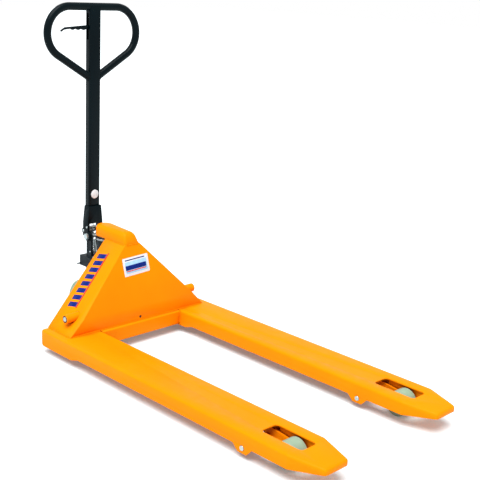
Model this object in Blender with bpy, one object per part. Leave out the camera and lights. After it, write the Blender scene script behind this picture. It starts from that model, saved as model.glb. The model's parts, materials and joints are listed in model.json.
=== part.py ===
"""Hand pallet jack: two forks, a sloping nose frame, a steering pump unit and an upright tiller.

Metres, +Z up, floor at z = 0, forks pointing along +X.  The origin is the middle of the
bounding box at floor level.  Distances along X that are called "behind the beam" are measured
from the front face of the cross beam, which is where the clear fork length starts.
"""
import math

import bmesh
import bpy
from mathutils import Vector

# ---------------------------------------------------------------- driving dimensions
FORK_LENGTH = 1.150          # cross beam face to fork tip
FORK_WIDTH = 0.160           # one fork
OVERALL_WIDTH = 0.685        # outside to outside of the two forks
DECK_HEIGHT = 0.085          # fork top when lowered
LIFT_STROKE = 0.115          # fork top rises from 0.085 to 0.200
GAP = 0.0003                 # what two touching pieces keep between their faces
RUN = 0.0005                 # radial clearance of a turning or sliding fit

# Sheet metal and fork channel
DECK_PLATE = 0.005           # fork top plate and side walls
FORK_EDGE_RADIUS = 0.008     # pressed radius along the fork's top edges
FORK_TAIL = 0.155            # fork runs this far behind the beam
FORK_CORNER = 0.012          # plan radius of the rear and toe corners
TOE_TAPER = 0.112            # length of the toe's plan taper
TIP_WIDTH = 0.097            # width at the toe
TOE_DROP = 0.010             # how far the toe's top slopes down
WALL_BOTTOM = 0.038          # lower edge of the fork's side walls
WALL_BOTTOM_REAR = 0.026     # the same under the nose frame
WALL_BOTTOM_FRONT = 0.0405   # the same from the pivot lug to the toe's taper
TOE_BOTTOM = 0.056           # the same at the toe's end
LUG_BOTTOM = 0.018           # lower edge of the lug that holds the roller frame pivot
LUG_HALF = 0.018             # half length of that lug
WINDOW_TO_TIP = 0.103        # front end of the roller window to the fork tip
WINDOW_LENGTH = 0.154
WINDOW_WIDTH = 0.066
WINDOW_CORNER = 0.012
RIB_PLATE = 0.005            # rib under the deck on each side of the window
RIB_IN = 0.0405              # its inner face, from the fork's middle
RIB_REAR = 0.034             # its rear end, ahead of the roller pivot
RIB_FRONT = 0.012            # its front end, ahead of the window

# Load roller and its frame
ROLLER_RADIUS = 0.040
ROLLER_WIDTH = 0.060
ROLLER_TO_TIP = 0.168        # load roller axle to the fork tip
ROLLER_ARM_SPARE = 0.001     # the roller frame reaches this much further than the lift
ROLLER_PIVOT_Z = 0.034
ROLLER_SIDE = 0.001          # between a load roller and its frame's plate
ROLLER_FRAME_PLATE = 0.006
SHAFT_RADIUS = 0.008         # roller frame pivot shaft
AXLE_RADIUS = 0.010          # load roller axle

# Nose frame
BEAM_DEPTH = 0.040
BEAM_BOTTOM = 0.030
PLATE_SETBACK = 0.015        # sloping plate behind the beam's face
PLATE_BEND_Z = 0.140         # the plate is upright below this height
PLATE_LEAN = 0.25            # and leans back by this much per metre above it
PLATE_EDGE = 0.0309          # foot of the side flange, in from the fork's outer edge
NOSE_HALF = 0.0346           # half width under the cap
PLATE_THICK = 0.005
NOSE_BASE_Z = 0.3623         # underside of the cap
NOSE_TOP_Z = 0.405
CAP_NARROWING = 0.30         # the cap's front narrows on each side by this much per metre of height
CAP_LEAN = 0.20              # and leans back by this much more than the plate
CAP_CORNER = 0.010           # plan radius of its front corners
FLANGE_REAR_BASE = 0.155     # rear edge of the side flange at the foot, behind the beam
FLANGE_REAR_TOP = 0.190      # and at the top
BEND_RADIUS = 0.012

# Steering unit
STEER_X = -0.235             # steering axis, behind the beam
WHEEL_RADIUS = 0.100
WHEEL_WIDTH = 0.050
WHEEL_OUTER = 0.100          # outer face of a steering wheel from the middle
STEER_AXLE_RADIUS = 0.010
NECK_RADIUS = 0.025
BARREL_RADIUS = 0.032
BARREL_TOP = 0.345
RAM_RADIUS = 0.0155
BLOCK_BOTTOM = 0.2225
BLOCK_TOP = 0.262
BLOCK_HALF = 0.036
BRACKET_BOTTOM = 0.2035
BRACKET_THICK = 0.009

# Tiller
TUBE_X = -0.318              # tiller tube axis, behind the beam
TUBE_WIDTH = 0.050           # across, along Y
TUBE_DEPTH = 0.030           # along X
TUBE_WALL = 0.0025
TUBE_FOOT = 0.3925
PIVOT_X = -0.305             # tiller pivot
PIVOT_Z = 0.345
PIVOT_RADIUS = 0.008
PRESS_REACH = 0.030          # tiller pivot to pressure roller
PRESS_ANGLE = math.radians(40.0)
PRESS_RADIUS = 0.012
PLUNGER_STROKE = 0.0391
LOOP_TUBE_RADIUS = 0.014
LOOP_TOP_Z = 1.199           # middle of the loop's top bar
LOOP_REACH = 0.197           # middle of the tube at the loop's widest
LOOP_SHOULDER = 0.094        # radius of the two upper bends
LOOP_CHEEK = 0.090           # radius of the two lower bends
LOOP_LEG_SLOPE = math.radians(31.0)
LEVER_Z = 1.1255
LEVER_REACH = 0.124

# Rocker that ties the lifting motion to the load rollers
ROCKER_X = -0.066
ROCKER_Z = 0.138
ROCKER_TUBE_RADIUS = 0.017
ROCKER_PIN_RADIUS = 0.009
CROSS_PIN_X = -0.154
CROSS_PIN_Z = 0.219
CROSS_PIN_RADIUS = 0.006
REAR_ARM_Y = 0.043           # middle of the rocker's rear arms
ARM_PLATE = 0.010
ARM_HALF = 0.012             # half width of the rocker's arms
ARM_EDGE = 0.005             # metal beyond the slot's end
ARM_SIDE = 0.0005            # between a lower arm and its push rod, and between rod and boss
ROD_PLATE = 0.008
ROD_HALF = 0.0085            # half height of the push rod
ROD_SIDE = 0.002             # between a push rod and its roller frame
ROD_CLEAR = 0.0025           # between the swinging rod and the fork's top plate
ROD_BELOW_DECK = 0.025       # middle of the push rod under the fork's top
ROD_PIN_RADIUS = 0.0045

# ---------------------------------------------------------------- derived places
PLUNGER_X = PIVOT_X - PRESS_REACH * math.cos(PRESS_ANGLE)
PRESS_Z = PIVOT_Z + PRESS_REACH * math.sin(PRESS_ANGLE)
PLUNGER_BOSS_RADIUS = 0.024
REAR_REACH = PLUNGER_X - PLUNGER_BOSS_RADIUS
BEAM_X = -(FORK_LENGTH + REAR_REACH) / 2.0
FORK_Y = (OVERALL_WIDTH - FORK_WIDTH) / 2.0
BEAM_HALF = FORK_Y - FORK_WIDTH / 2.0 - GAP
PLATE_FOOT = DECK_HEIGHT + GAP
PLATE_HALF_BASE = OVERALL_WIDTH / 2.0 - PLATE_EDGE
PLATE_SLOPE = (PLATE_HALF_BASE - NOSE_HALF) / (NOSE_BASE_Z - PLATE_FOOT)
TAPER_START = FORK_LENGTH - TOE_TAPER
WINDOW_FRONT = FORK_LENGTH - WINDOW_TO_TIP
BORE_RADIUS = RAM_RADIUS + RUN

# Load rollers, push rods and rocker: places ahead of the beam
ROLLER_X = FORK_LENGTH - ROLLER_TO_TIP
ROLLER_PIVOT_X = ROLLER_X - LIFT_STROKE - ROLLER_ARM_SPARE
ROLLER_Z = ROLLER_RADIUS
ROD_ARM = DECK_HEIGHT - DECK_PLATE - ROD_CLEAR - ROD_HALF - ROLLER_PIVOT_Z
ROLLER_ARM = math.hypot(ROLLER_X - ROLLER_PIVOT_X, ROLLER_Z - ROLLER_PIVOT_Z)
ROLLER_START = math.asin((ROLLER_Z - ROLLER_PIVOT_Z) / ROLLER_ARM)
ROLLER_SWING = ROLLER_START + math.asin((LIFT_STROKE - ROLLER_Z + ROLLER_PIVOT_Z) / ROLLER_ARM)
ROD_TRAVEL = 2.0 * ROD_ARM * math.sin(ROLLER_SWING / 2.0)
ROD_FRONT_X = ROLLER_PIVOT_X - ROD_TRAVEL / 2.0
ROD_FRONT_Z = ROLLER_PIVOT_Z + ROD_ARM * math.cos(ROLLER_SWING / 2.0)
ROCKER_ARM = math.hypot(CROSS_PIN_X - ROCKER_X, CROSS_PIN_Z - ROCKER_Z)
ROCKER_START = math.asin((CROSS_PIN_Z - ROCKER_Z) / ROCKER_ARM)
ROCKER_SWING = ROCKER_START - math.asin((CROSS_PIN_Z - LIFT_STROKE - ROCKER_Z) / ROCKER_ARM)
ROD_REAR_X = ROCKER_X - ROD_TRAVEL / 2.0
ROD_REAR_Z = ROCKER_Z - ROD_TRAVEL / 2.0 / math.tan(ROCKER_SWING / 2.0)
ROD_BAR_Z = DECK_HEIGHT - ROD_BELOW_DECK
ROD_Y = FORK_Y - ROLLER_WIDTH / 2.0 - ROLLER_SIDE - ROLLER_FRAME_PLATE - ROD_SIDE - ROD_PLATE / 2.0
LOWER_ARM_Y = ROD_Y - ROD_PLATE / 2.0 - ARM_SIDE - ARM_PLATE / 2.0

# Slot in the rocker's lower arm: the rod pin slides from the far end to the near end and back
SLOT_HALF = ROD_PIN_RADIUS + 0.003
ROD_PIN_FAR = math.hypot(ROD_TRAVEL / 2.0, ROCKER_Z - ROD_REAR_Z)
ROD_PIN_NEAR = ROCKER_Z - ROD_REAR_Z - ROD_ARM * (1.0 - math.cos(ROLLER_SWING / 2.0))
ROCKER_SLOT_START = ROD_PIN_NEAR + SLOT_HALF - ROD_PIN_RADIUS - 0.001
ROCKER_SLOT_END = ROD_PIN_FAR + ROD_PIN_RADIUS + 0.002

# Rocker tube and bosses along Y
BOSS_RADIUS = 0.0165
ROCKER_CLEAR = 0.001         # around the rocker's ends
BOSS_PROUD = 0.0411          # a boss stands this far out of the flange
BOSS_IN = ROD_Y + ROD_PLATE / 2.0 + ARM_SIDE
BOSS_OUT = PLATE_HALF_BASE - PLATE_SLOPE * (ROCKER_Z - PLATE_FOOT) + BOSS_PROUD
ROCKER_HALF = BOSS_IN - ROCKER_CLEAR

# Pump, plunger and tiller details
RAM_TOP = NOSE_TOP_Z - 0.016
RAM_BOTTOM = 0.150
PLUNGER_RADIUS = 0.009
SLEEVE_BOTTOM = 0.192
PLUNGER_BOTTOM = SLEEVE_BOTTOM + PLUNGER_STROKE + 0.008
HEAD_Z = 0.340               # underside of the plunger's head
YOKE_WALL = 0.0095           # yoke beside the tube, where it is widest
YOKE_WALL_TOP = 0.0025       # and at its upper edge
YOKE_CHEEK = 0.009           # thickness of a cheek
LUG_PLATE = 0.0085           # thickness of a tiller lug on the pump
YOKE_HALF = TUBE_WIDTH / 2.0 + YOKE_WALL
YOKE_HALF_TOP = TUBE_WIDTH / 2.0 + YOKE_WALL_TOP
YOKE_REAR = TUBE_X - TUBE_DEPTH / 2.0 + 0.002  # the socket is open at the rear
LUG_OUTER = YOKE_HALF - YOKE_CHEEK - RUN
LUG_INNER = LUG_OUTER - LUG_PLATE
YOKE_TOP = 0.462
PRESS_PIN_RADIUS = 0.005
GUIDE_RADIUS = 0.004
GUIDE_Z = 0.381
FIXING_Z = 0.440             # pin that holds the tube in the yoke
FIXING_RADIUS = 0.004
FIXING_BACK = 0.007          # behind the tube's axis, clear of the pull rod
RELEASE_X = -0.296           # release lever pin, behind the beam
RELEASE_Z = 0.285
RELEASE_PIN_RADIUS = 0.003
VALVE_X = -0.282             # lowering valve stem, behind the beam
VALVE_RADIUS = 0.004
VALVE_DEPTH = 0.008          # its seat in the pump block
FILLER_X = -0.2815
FILLER_Y = -0.019
FILLER_RADIUS = 0.0055
CHAIN_X = -0.3125
CHAIN_TOP = 0.400
CHAIN_FOOT = 0.3575
LEVER_SLOT = 0.012
LEVER_THICK = 0.009
LEVER_PIVOT_Y = 0.012
LEVER_PIN_RADIUS = 0.003
TILLER_ORIGIN = (BEAM_X + PIVOT_X, 0.0, PIVOT_Z)
PLATE_FACE_X = BEAM_X - PLATE_SETBACK
SIDES = ((-1.0, "right"), (1.0, "left"))

# Turning directions of the lathe: the axis, then two directions square to it
AXES = {
    "X": (Vector((1, 0, 0)), Vector((0, 1, 0)), Vector((0, 0, 1))),
    "Y": (Vector((0, 1, 0)), Vector((0, 0, 1)), Vector((1, 0, 0))),
    "Z": (Vector((0, 0, 1)), Vector((1, 0, 0)), Vector((0, 1, 0))),
}


# ---------------------------------------------------------------- scene and object helpers
def clear_scene():
    """Start from an empty scene."""
    for item in list(bpy.data.objects):
        bpy.data.objects.remove(item)


def paint(name, colour, roughness, metallic):
    """One Principled BSDF material."""
    material = bpy.data.materials.new(name)
    material.use_nodes = True
    shader = material.node_tree.nodes["Principled BSDF"]
    shader.inputs["Base Color"].default_value = (*colour, 1.0)
    shader.inputs["Roughness"].default_value = roughness
    shader.inputs["Metallic"].default_value = metallic
    return material


def add_object(name, body, material, origin=(0.0, 0.0, 0.0), sharp=35.0):
    """Turn a bmesh in world coordinates into an object whose origin is at origin."""
    bmesh.ops.translate(body, verts=body.verts, vec=-Vector(origin))
    bmesh.ops.recalc_face_normals(body, faces=body.faces)
    mesh = bpy.data.meshes.new(name)
    body.to_mesh(mesh)
    body.free()
    mesh.materials.append(material)
    mesh.shade_smooth()
    mesh.set_sharp_from_angle(angle=math.radians(sharp))
    item = bpy.data.objects.new(name, mesh)
    item.location = origin
    bpy.context.collection.objects.link(item)
    return item


def temporary_object(body):
    """A throwaway object that a Boolean can read."""
    bmesh.ops.recalc_face_normals(body, faces=body.faces)
    mesh = bpy.data.meshes.new("temporary")
    body.to_mesh(mesh)
    body.free()
    item = bpy.data.objects.new("temporary", mesh)
    bpy.context.collection.objects.link(item)
    return item


def combine(body, tools, operation):
    """Union or difference of a bmesh with each tool in turn."""
    for tool in tools:
        target = temporary_object(body)
        other = temporary_object(tool)
        step = target.modifiers.new("step", "BOOLEAN")
        step.operation = operation
        step.solver = "EXACT"
        step.object = other
        graph = bpy.context.evaluated_depsgraph_get()
        mesh = bpy.data.meshes.new_from_object(target.evaluated_get(graph))
        body = bmesh.new()
        body.from_mesh(mesh)
        spares = [mesh, target.data, other.data]
        bpy.data.objects.remove(target)
        bpy.data.objects.remove(other)
        for spare in spares:
            bpy.data.meshes.remove(spare)
        bmesh.ops.remove_doubles(body, verts=body.verts, dist=0.000002)
        bmesh.ops.dissolve_degenerate(body, edges=body.edges, dist=0.000002)
    return body


def cut(body, *tools):
    """Take each tool away from a body."""
    return combine(body, tools, "DIFFERENCE")


def fuse(body, *tools):
    """Join each tool to a body."""
    return combine(body, tools, "UNION")


# ---------------------------------------------------------------- outlines in a plane
def arc(centre, radius, start, end, steps):
    """Points along an arc, both ends included, angles in degrees."""
    points = []
    for step in range(steps + 1):
        angle = math.radians(start + (end - start) * step / steps)
        points.append((centre[0] + radius * math.cos(angle), centre[1] + radius * math.sin(angle)))
    return points


def rounded(points, radii, steps=4):
    """An outline with its corners turned to arcs; a radius of 0 keeps a corner."""
    result = []
    for index, (corner, radius) in enumerate(zip(points, radii)):
        if radius == 0:
            result.append(corner)
            continue
        here = Vector(corner)
        before = (Vector(points[index - 1]) - here).normalized()
        after = (Vector(points[(index + 1) % len(points)]) - here).normalized()
        half = before.angle(after) / 2.0
        middle = here + (before + after).normalized() * (radius / math.sin(half))
        first = here + before * (radius / math.tan(half)) - middle
        last = here + after * (radius / math.tan(half)) - middle
        start = math.atan2(first.y, first.x)
        sweep = (math.atan2(last.y, last.x) - start + math.pi) % (2.0 * math.pi) - math.pi
        result += arc(middle, radius, math.degrees(start), math.degrees(start + sweep), steps)
    return result


def rectangle(low, high, radius=0.0, steps=4):
    """A rectangle between two corners, its own corners rounded alike."""
    points = [(low[0], low[1]), (high[0], low[1]), (high[0], high[1]), (low[0], high[1])]
    return rounded(points, [radius] * 4, steps)


def inset(points, distance):
    """An anticlockwise outline moved inwards by a distance."""
    result = []
    for index, corner in enumerate(points):
        here = Vector(corner)
        before = (here - Vector(points[index - 1])).normalized()
        after = (Vector(points[(index + 1) % len(points)]) - here).normalized()
        inward = Vector((-before.y - after.y, before.x + after.x)).normalized()
        reach = distance / inward.dot(Vector((-before.y, before.x)))
        result.append(tuple(here + inward * reach))
    return result


def strip(path, half, steps=6):
    """A flat bar along a path, with mitred bends and round ends."""
    points = [Vector(point) for point in path]
    headings = [(after - before).normalized() for before, after in zip(points, points[1:])]

    def bends(side, order):
        corners = []
        for index in order:
            before = headings[index - 1]
            mitre = Vector((-before.y - headings[index].y, before.x + headings[index].x)).normalized()
            reach = half / mitre.dot(Vector((-before.y, before.x)))
            corners.append(tuple(points[index] + mitre * reach * side))
        return corners

    inner = range(1, len(points) - 1)
    first = math.degrees(math.atan2(headings[0].y, headings[0].x))
    last = math.degrees(math.atan2(headings[-1].y, headings[-1].x))
    front = arc(points[-1], half, last - 90.0, last + 90.0, steps)
    back = arc(points[0], half, first + 90.0, first + 270.0, steps)
    return bends(-1.0, inner) + front + bends(1.0, reversed(inner)) + back


def hull(circles, steps=16):
    """The outline of a band stretched around circles of (x, y, radius)."""
    points = set()
    for x, y, radius in circles:
        for step in range(steps):
            angle = 2.0 * math.pi * step / steps
            points.add((round(x + radius * math.cos(angle), 9), round(y + radius * math.sin(angle), 9)))
    points = sorted(points)
    chains = []
    for ordered in (points, points[::-1]):
        chain = []
        for point in ordered:
            while len(chain) > 1:
                ax, ay = chain[-1][0] - chain[-2][0], chain[-1][1] - chain[-2][1]
                bx, by = point[0] - chain[-2][0], point[1] - chain[-2][1]
                if ax * by - ay * bx > 1e-12:
                    break
                chain.pop()
            chain.append(point)
        chains.append(chain[:-1])
    return chains[0] + chains[1]


# ---------------------------------------------------------------- solids
def loft(rings):
    """A closed solid through rings of points, capped at both ends."""
    body = bmesh.new()
    rows = [[body.verts.new(point) for point in ring] for ring in rings]
    count = len(rows[0])
    for lower, upper in zip(rows, rows[1:]):
        for index in range(count):
            other = (index + 1) % count
            body.faces.new((lower[index], lower[other], upper[other], upper[index]))
    body.faces.new(rows[0][::-1])
    body.faces.new(rows[-1])
    return body


def prism(outline, axis, low, high):
    """An outline pushed along an axis: (y, z) along X, (x, z) along Y, (x, y) along Z."""
    places = {
        "X": lambda point, along: (along, point[0], point[1]),
        "Y": lambda point, along: (point[0], along, point[1]),
        "Z": lambda point, along: (point[0], point[1], along),
    }
    return loft([[places[axis](point, along) for point in outline] for along in (low, high)])


def lathe(profile, centre, axis, segments=16):
    """Turn (radius, along) points about an axis.  Flats lie on the stated radius."""
    along, first, second = AXES[axis]
    middle = Vector(centre)
    grow = 1.0 / math.cos(math.pi / segments)
    angles = [2.0 * math.pi * (index + 0.5) / segments for index in range(segments)]
    body = bmesh.new()
    rows = []
    for radius, place in profile:
        spot = middle + along * place
        if radius == 0:
            rows.append([body.verts.new(spot)])
            continue
        row = []
        for angle in angles:
            spoke = first * math.cos(angle) + second * math.sin(angle)
            row.append(body.verts.new(spot + spoke * radius * grow))
        rows.append(row)
    pairs = list(zip(rows, rows[1:]))
    if profile[0][0] > 0:
        pairs.append((rows[-1], rows[0]))
    for lower, upper in pairs:
        for index in range(segments):
            other = (index + 1) % segments
            corners = []
            for row, order in ((lower, (index, other)), (upper, (other, index))):
                corners += [row[0]] if len(row) == 1 else [row[number] for number in order]
            body.faces.new(corners)
    return body


def rod(centre, axis, radius, low, high, chamfer=0.0, segments=16):
    """A solid round bar between two places along its axis."""
    low, high = min(low, high), max(low, high)
    profile = [(0.0, low), (radius - chamfer, low)]
    if chamfer:
        profile += [(radius, low + chamfer), (radius, high - chamfer)]
    profile += [(radius - chamfer, high), (0.0, high)]
    return lathe(profile, centre, axis, segments)


def tube(centre, axis, outer, inner, low, high, chamfer=0.0, segments=16):
    """A round ring or tube between two places along its axis."""
    low, high = min(low, high), max(low, high)
    profile = [(inner, low), (outer - chamfer, low)]
    if chamfer:
        profile += [(outer, low + chamfer), (outer, high - chamfer)]
    profile += [(outer - chamfer, high), (inner, high)]
    return lathe(profile, centre, axis, segments)


def box(low, high):
    """A plain block between two corners."""
    return prism(rectangle(low[:2], high[:2]), "Z", low[2], high[2])


def sweep(path, radius, segments=12):
    """A round bar along a path in an upright plane of constant X, its ends square to the path."""
    across = Vector((1, 0, 0))
    points = [Vector(point) for point in path]
    rings = []
    for index, point in enumerate(points):
        before = points[max(index - 1, 0)]
        after = points[min(index + 1, len(points) - 1)]
        outward = across.cross((after - before).normalized())
        ring = []
        for number in range(segments):
            angle = 2.0 * math.pi * number / segments
            ring.append(point + (across * math.cos(angle) + outward * math.sin(angle)) * radius)
        rings.append(ring)
    return loft(rings)


# ---------------------------------------------------------------- fork and nose frame
def edge_across(body, x):
    """Edges all round a body at a place along X, so that no face lies on both sides of it."""
    geometry = body.verts[:] + body.edges[:] + body.faces[:]
    bmesh.ops.bisect_plane(body, geom=geometry, plane_co=(x, 0, 0), plane_no=(1, 0, 0), dist=0.00001)


def fork_block(wall, top, radius, floor):
    """The fork's outside, or with a wall thickness its inside, down to a floor."""
    tail = BEAM_X - FORK_TAIL
    toe = BEAM_X + FORK_LENGTH
    taper = BEAM_X + TAPER_START
    half = FORK_WIDTH / 2.0
    tip = TIP_WIDTH / 2.0
    corners = [(tail, -half), (taper, -half), (toe, -tip), (toe, tip), (taper, half), (tail, half)]
    outline = rounded(corners, [FORK_CORNER] * 6, 3)
    rings = [(wall, floor)]
    for step in range(4):
        angle = math.pi / 6.0 * step
        rings.append((wall + radius * (1.0 - math.cos(angle)), top - radius * (1.0 - math.sin(angle))))
    body = loft([[(x, y, z) for x, y in inset(outline, move)] for move, z in rings])
    edge_across(body, taper)
    for vertex in body.verts:
        if vertex.co.x > taper:
            vertex.co.z -= TOE_DROP * (vertex.co.x - taper) / (toe - taper)
    return body


def fork_underside():
    """Everything below the lower edge of the fork's side walls, seen from the side."""
    tail = BEAM_X - FORK_TAIL
    toe = BEAM_X + FORK_LENGTH
    pivot = BEAM_X + ROLLER_PIVOT_X
    corner = 0.020
    ramp = 0.020
    below = -0.030
    edge = [
        (BEAM_X + 0.030, WALL_BOTTOM_REAR),
        (BEAM_X + 0.070, WALL_BOTTOM),
        (pivot - LUG_HALF - ramp, WALL_BOTTOM),
        (pivot - LUG_HALF, LUG_BOTTOM),
        (pivot + LUG_HALF, LUG_BOTTOM),
        (pivot + LUG_HALF + ramp, WALL_BOTTOM_FRONT),
        (BEAM_X + TAPER_START, WALL_BOTTOM_FRONT),
        (toe, TOE_BOTTOM),
        (toe + ramp, TOE_BOTTOM),
    ]
    radii = [0.02, 0.02, 0.01, 0.008, 0.008, 0.01, 0.02, 0.0, 0.0]
    heel = arc((tail + corner, WALL_BOTTOM_REAR + corner), corner, 180.0, 270.0, 5)
    lead = [(tail - ramp, below), (tail - ramp, heel[0][1])]
    points = lead + heel + edge + [(toe + ramp, below)]
    outline = rounded(points, [0.0] * (len(lead) + len(heel)) + radii + [0.0], 3)
    return prism(outline[::-1], "Y", -FORK_WIDTH, FORK_WIDTH)


def make_fork(side, word, material):
    """One bent channel with its roller window between two ribs, and a slot for the rocker."""
    middle = side * FORK_Y
    slot_low, slot_high = LOWER_ARM_Y - ARM_PLATE / 2.0, ROD_Y + ROD_PLATE / 2.0
    slot_clear = 0.0015
    swing = ROCKER_SLOT_END + ARM_EDGE
    slot_rear = BEAM_X + ROCKER_X - swing * math.sin(ROCKER_SWING / 2.0) - ARM_HALF
    body = fork_block(0.0, DECK_HEIGHT, FORK_EDGE_RADIUS, 0.004)
    inside = fork_block(DECK_PLATE, DECK_HEIGHT - DECK_PLATE, FORK_EDGE_RADIUS - DECK_PLATE, -0.01)
    window_low = (BEAM_X + WINDOW_FRONT - WINDOW_LENGTH, -WINDOW_WIDTH / 2.0)
    window_high = (BEAM_X + WINDOW_FRONT, WINDOW_WIDTH / 2.0)
    low_z, high_z = DECK_HEIGHT - 0.015, DECK_HEIGHT + 0.035
    window = prism(rectangle(window_low, window_high, WINDOW_CORNER), "Z", low_z, high_z)
    shaft = rod((BEAM_X + ROLLER_PIVOT_X, 0, ROLLER_PIVOT_Z), "Y", SHAFT_RADIUS + GAP, -0.2, 0.2)
    body = cut(body, inside, fork_underside(), window, shaft)
    ribs = []
    for low in (RIB_IN, -RIB_IN - RIB_PLATE):
        rib_low = (BEAM_X + ROLLER_PIVOT_X + RIB_REAR, low, WALL_BOTTOM_FRONT)
        rib_high = (BEAM_X + WINDOW_FRONT + RIB_FRONT, low + RIB_PLATE, DECK_HEIGHT - DECK_PLATE + 0.001)
        ribs.append(box(rib_low, rib_high))
    body = fuse(body, *ribs)
    bmesh.ops.translate(body, verts=body.verts, vec=(0, middle, 0))
    near, far = sorted((side * (slot_low - slot_clear), side * (slot_high + slot_clear)))
    slot = box((slot_rear, near, low_z), (PLATE_FACE_X - PLATE_THICK / 2.0, far, high_z))
    body = cut(body, slot)
    edge_across(body, BEAM_X)
    add_object(f"fork_{word}", body, material)


def plate_x(z):
    """Front face of the sloping plate at a height."""
    return PLATE_FACE_X - PLATE_LEAN * max(0.0, z - PLATE_BEND_Z)


def flange_x(z):
    """Rear edge of the side flanges at a height."""
    share = (z - PLATE_FOOT) / (NOSE_BASE_Z - PLATE_FOOT)
    return BEAM_X - FLANGE_REAR_BASE - (FLANGE_REAR_TOP - FLANGE_REAR_BASE) * share


def plate_half(z):
    """Half width of the nose frame at a height: its edges rise steeply to the cap."""
    return PLATE_HALF_BASE - PLATE_SLOPE * (z - PLATE_FOOT)


def frame_wedge(heights, wall, behind, radius):
    """The tent-shaped nose frame, or its inside, with the two front bends rounded."""
    side_wall = wall * math.hypot(1.0, PLATE_SLOPE)
    rings = []
    for z in heights:
        front, rear, half = plate_x(z) - wall, flange_x(z) - behind, plate_half(z) - side_wall
        rings.append([(rear, -half, z), (front, -half, z), (front, half, z), (rear, half, z)])
    body = loft(rings)
    body.verts.ensure_lookup_table()
    fronts = {index for index in range(len(body.verts)) if index % 4 in (1, 2)}
    bends = []
    for edge in body.edges:
        ends = {vertex.index for vertex in edge.verts}
        if ends <= fronts and len({index % 4 for index in ends}) == 1:
            bends.append(edge)
    bmesh.ops.bevel(body, geom=bends, offset=radius, segments=4, profile=0.5, affect="EDGES")
    return body


def make_nose_frame(material):
    """The bent plate with its two flanges, open below and behind, clear of the rocker."""
    top = NOSE_BASE_Z - GAP
    axis = (BEAM_X + ROCKER_X, 0, ROCKER_Z)
    reach = ROCKER_HALF + ROCKER_CLEAR
    outside = frame_wedge([PLATE_FOOT, PLATE_BEND_Z, top], 0.0, 0.0, BEND_RADIUS)
    inner_heights = [PLATE_FOOT - 0.03, PLATE_BEND_Z, top - PLATE_THICK]
    inside = frame_wedge(inner_heights, PLATE_THICK, 0.05, BEND_RADIUS - PLATE_THICK)
    bosses = rod(axis, "Y", BOSS_RADIUS + GAP, -0.4, 0.4)
    rocker = rod(axis, "Y", ROCKER_TUBE_RADIUS + ROCKER_CLEAR, -reach, reach)
    drain = rod((0, 0, PLATE_FOOT + 0.012), "X", 0.005, BEAM_X - 0.05, BEAM_X)
    add_object("nose_frame", cut(outside, inside, bosses, rocker, drain), material)


def make_cross_beam(material):
    """Bent channel that ties the forks, open to the rear."""
    top = PLATE_FOOT - 2.0 * GAP
    rear, front = BEAM_X - BEAM_DEPTH, BEAM_X
    outer = rounded([(rear, BEAM_BOTTOM), (front, BEAM_BOTTOM), (front, top), (rear, top)],
                    [0.0, 0.008, 0.006, 0.0])
    low, high = BEAM_BOTTOM + DECK_PLATE, top - DECK_PLATE
    inner = rounded([(rear - 0.01, low), (front - DECK_PLATE, low), (front - DECK_PLATE, high),
                     (rear - 0.01, high)], [0.0, 0.003, 0.002, 0.0])
    body = cut(prism(outer, "Y", -BEAM_HALF, BEAM_HALF), prism(inner, "Y", -0.4, 0.4))
    add_object("cross_beam", body, material)


def make_ram_cap(material):
    """The nose over the lifting ram: round at the rear about the steering axis, narrow in front."""
    edge = 0.015
    rings = [(0.0, NOSE_BASE_Z)]
    for step in range(5):
        angle = math.pi / 8.0 * step
        rings.append((edge * (1.0 - math.cos(angle)), NOSE_TOP_Z - edge * (1.0 - math.sin(angle))))
    body = []
    for move, z in rings:
        half = NOSE_HALF - move
        narrow = half - CAP_NARROWING * (z - NOSE_BASE_Z)
        front = plate_x(z) - move - CAP_LEAN * (z - NOSE_BASE_Z)
        corners = [(front, -narrow), (front, narrow)]
        corner = min(CAP_CORNER, 0.6 * narrow)
        end = arc((BEAM_X + STEER_X, 0.0), half, 90.0, 270.0, 12)
        outline = rounded(corners + end, [corner, corner] + [0.0] * len(end), 4)
        body.append([(x, y, z) for x, y in outline])
    wall = 0.006
    inside = NOSE_HALF - wall
    pocket = hull([(BEAM_X + STEER_X, 0.0, inside), (flange_x(0.38) - 0.035, 0.0, inside)])
    hollow = prism(pocket, "Z", NOSE_BASE_Z - 0.02, RAM_TOP + GAP)
    add_object("ram_cap", cut(loft(body), hollow), material)


def make_rocker_bosses(paints):
    """A boss through each flange, and the pin in it that carries the rocker."""
    centre = (BEAM_X + ROCKER_X, 0, ROCKER_Z)
    for side, word in SIDES:
        boss = tube(centre, "Y", BOSS_RADIUS, ROCKER_PIN_RADIUS + GAP, side * BOSS_IN, side * BOSS_OUT, 0.001)
        add_object(f"rocker_boss_{word}", boss, paints["orange"])
        pin = rod(centre, "Y", ROCKER_PIN_RADIUS, side * (BOSS_IN - 0.034), side * (BOSS_OUT + 0.0015), 0.001)
        add_object(f"rocker_pin_{word}", pin, paints["zinc"])


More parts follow.
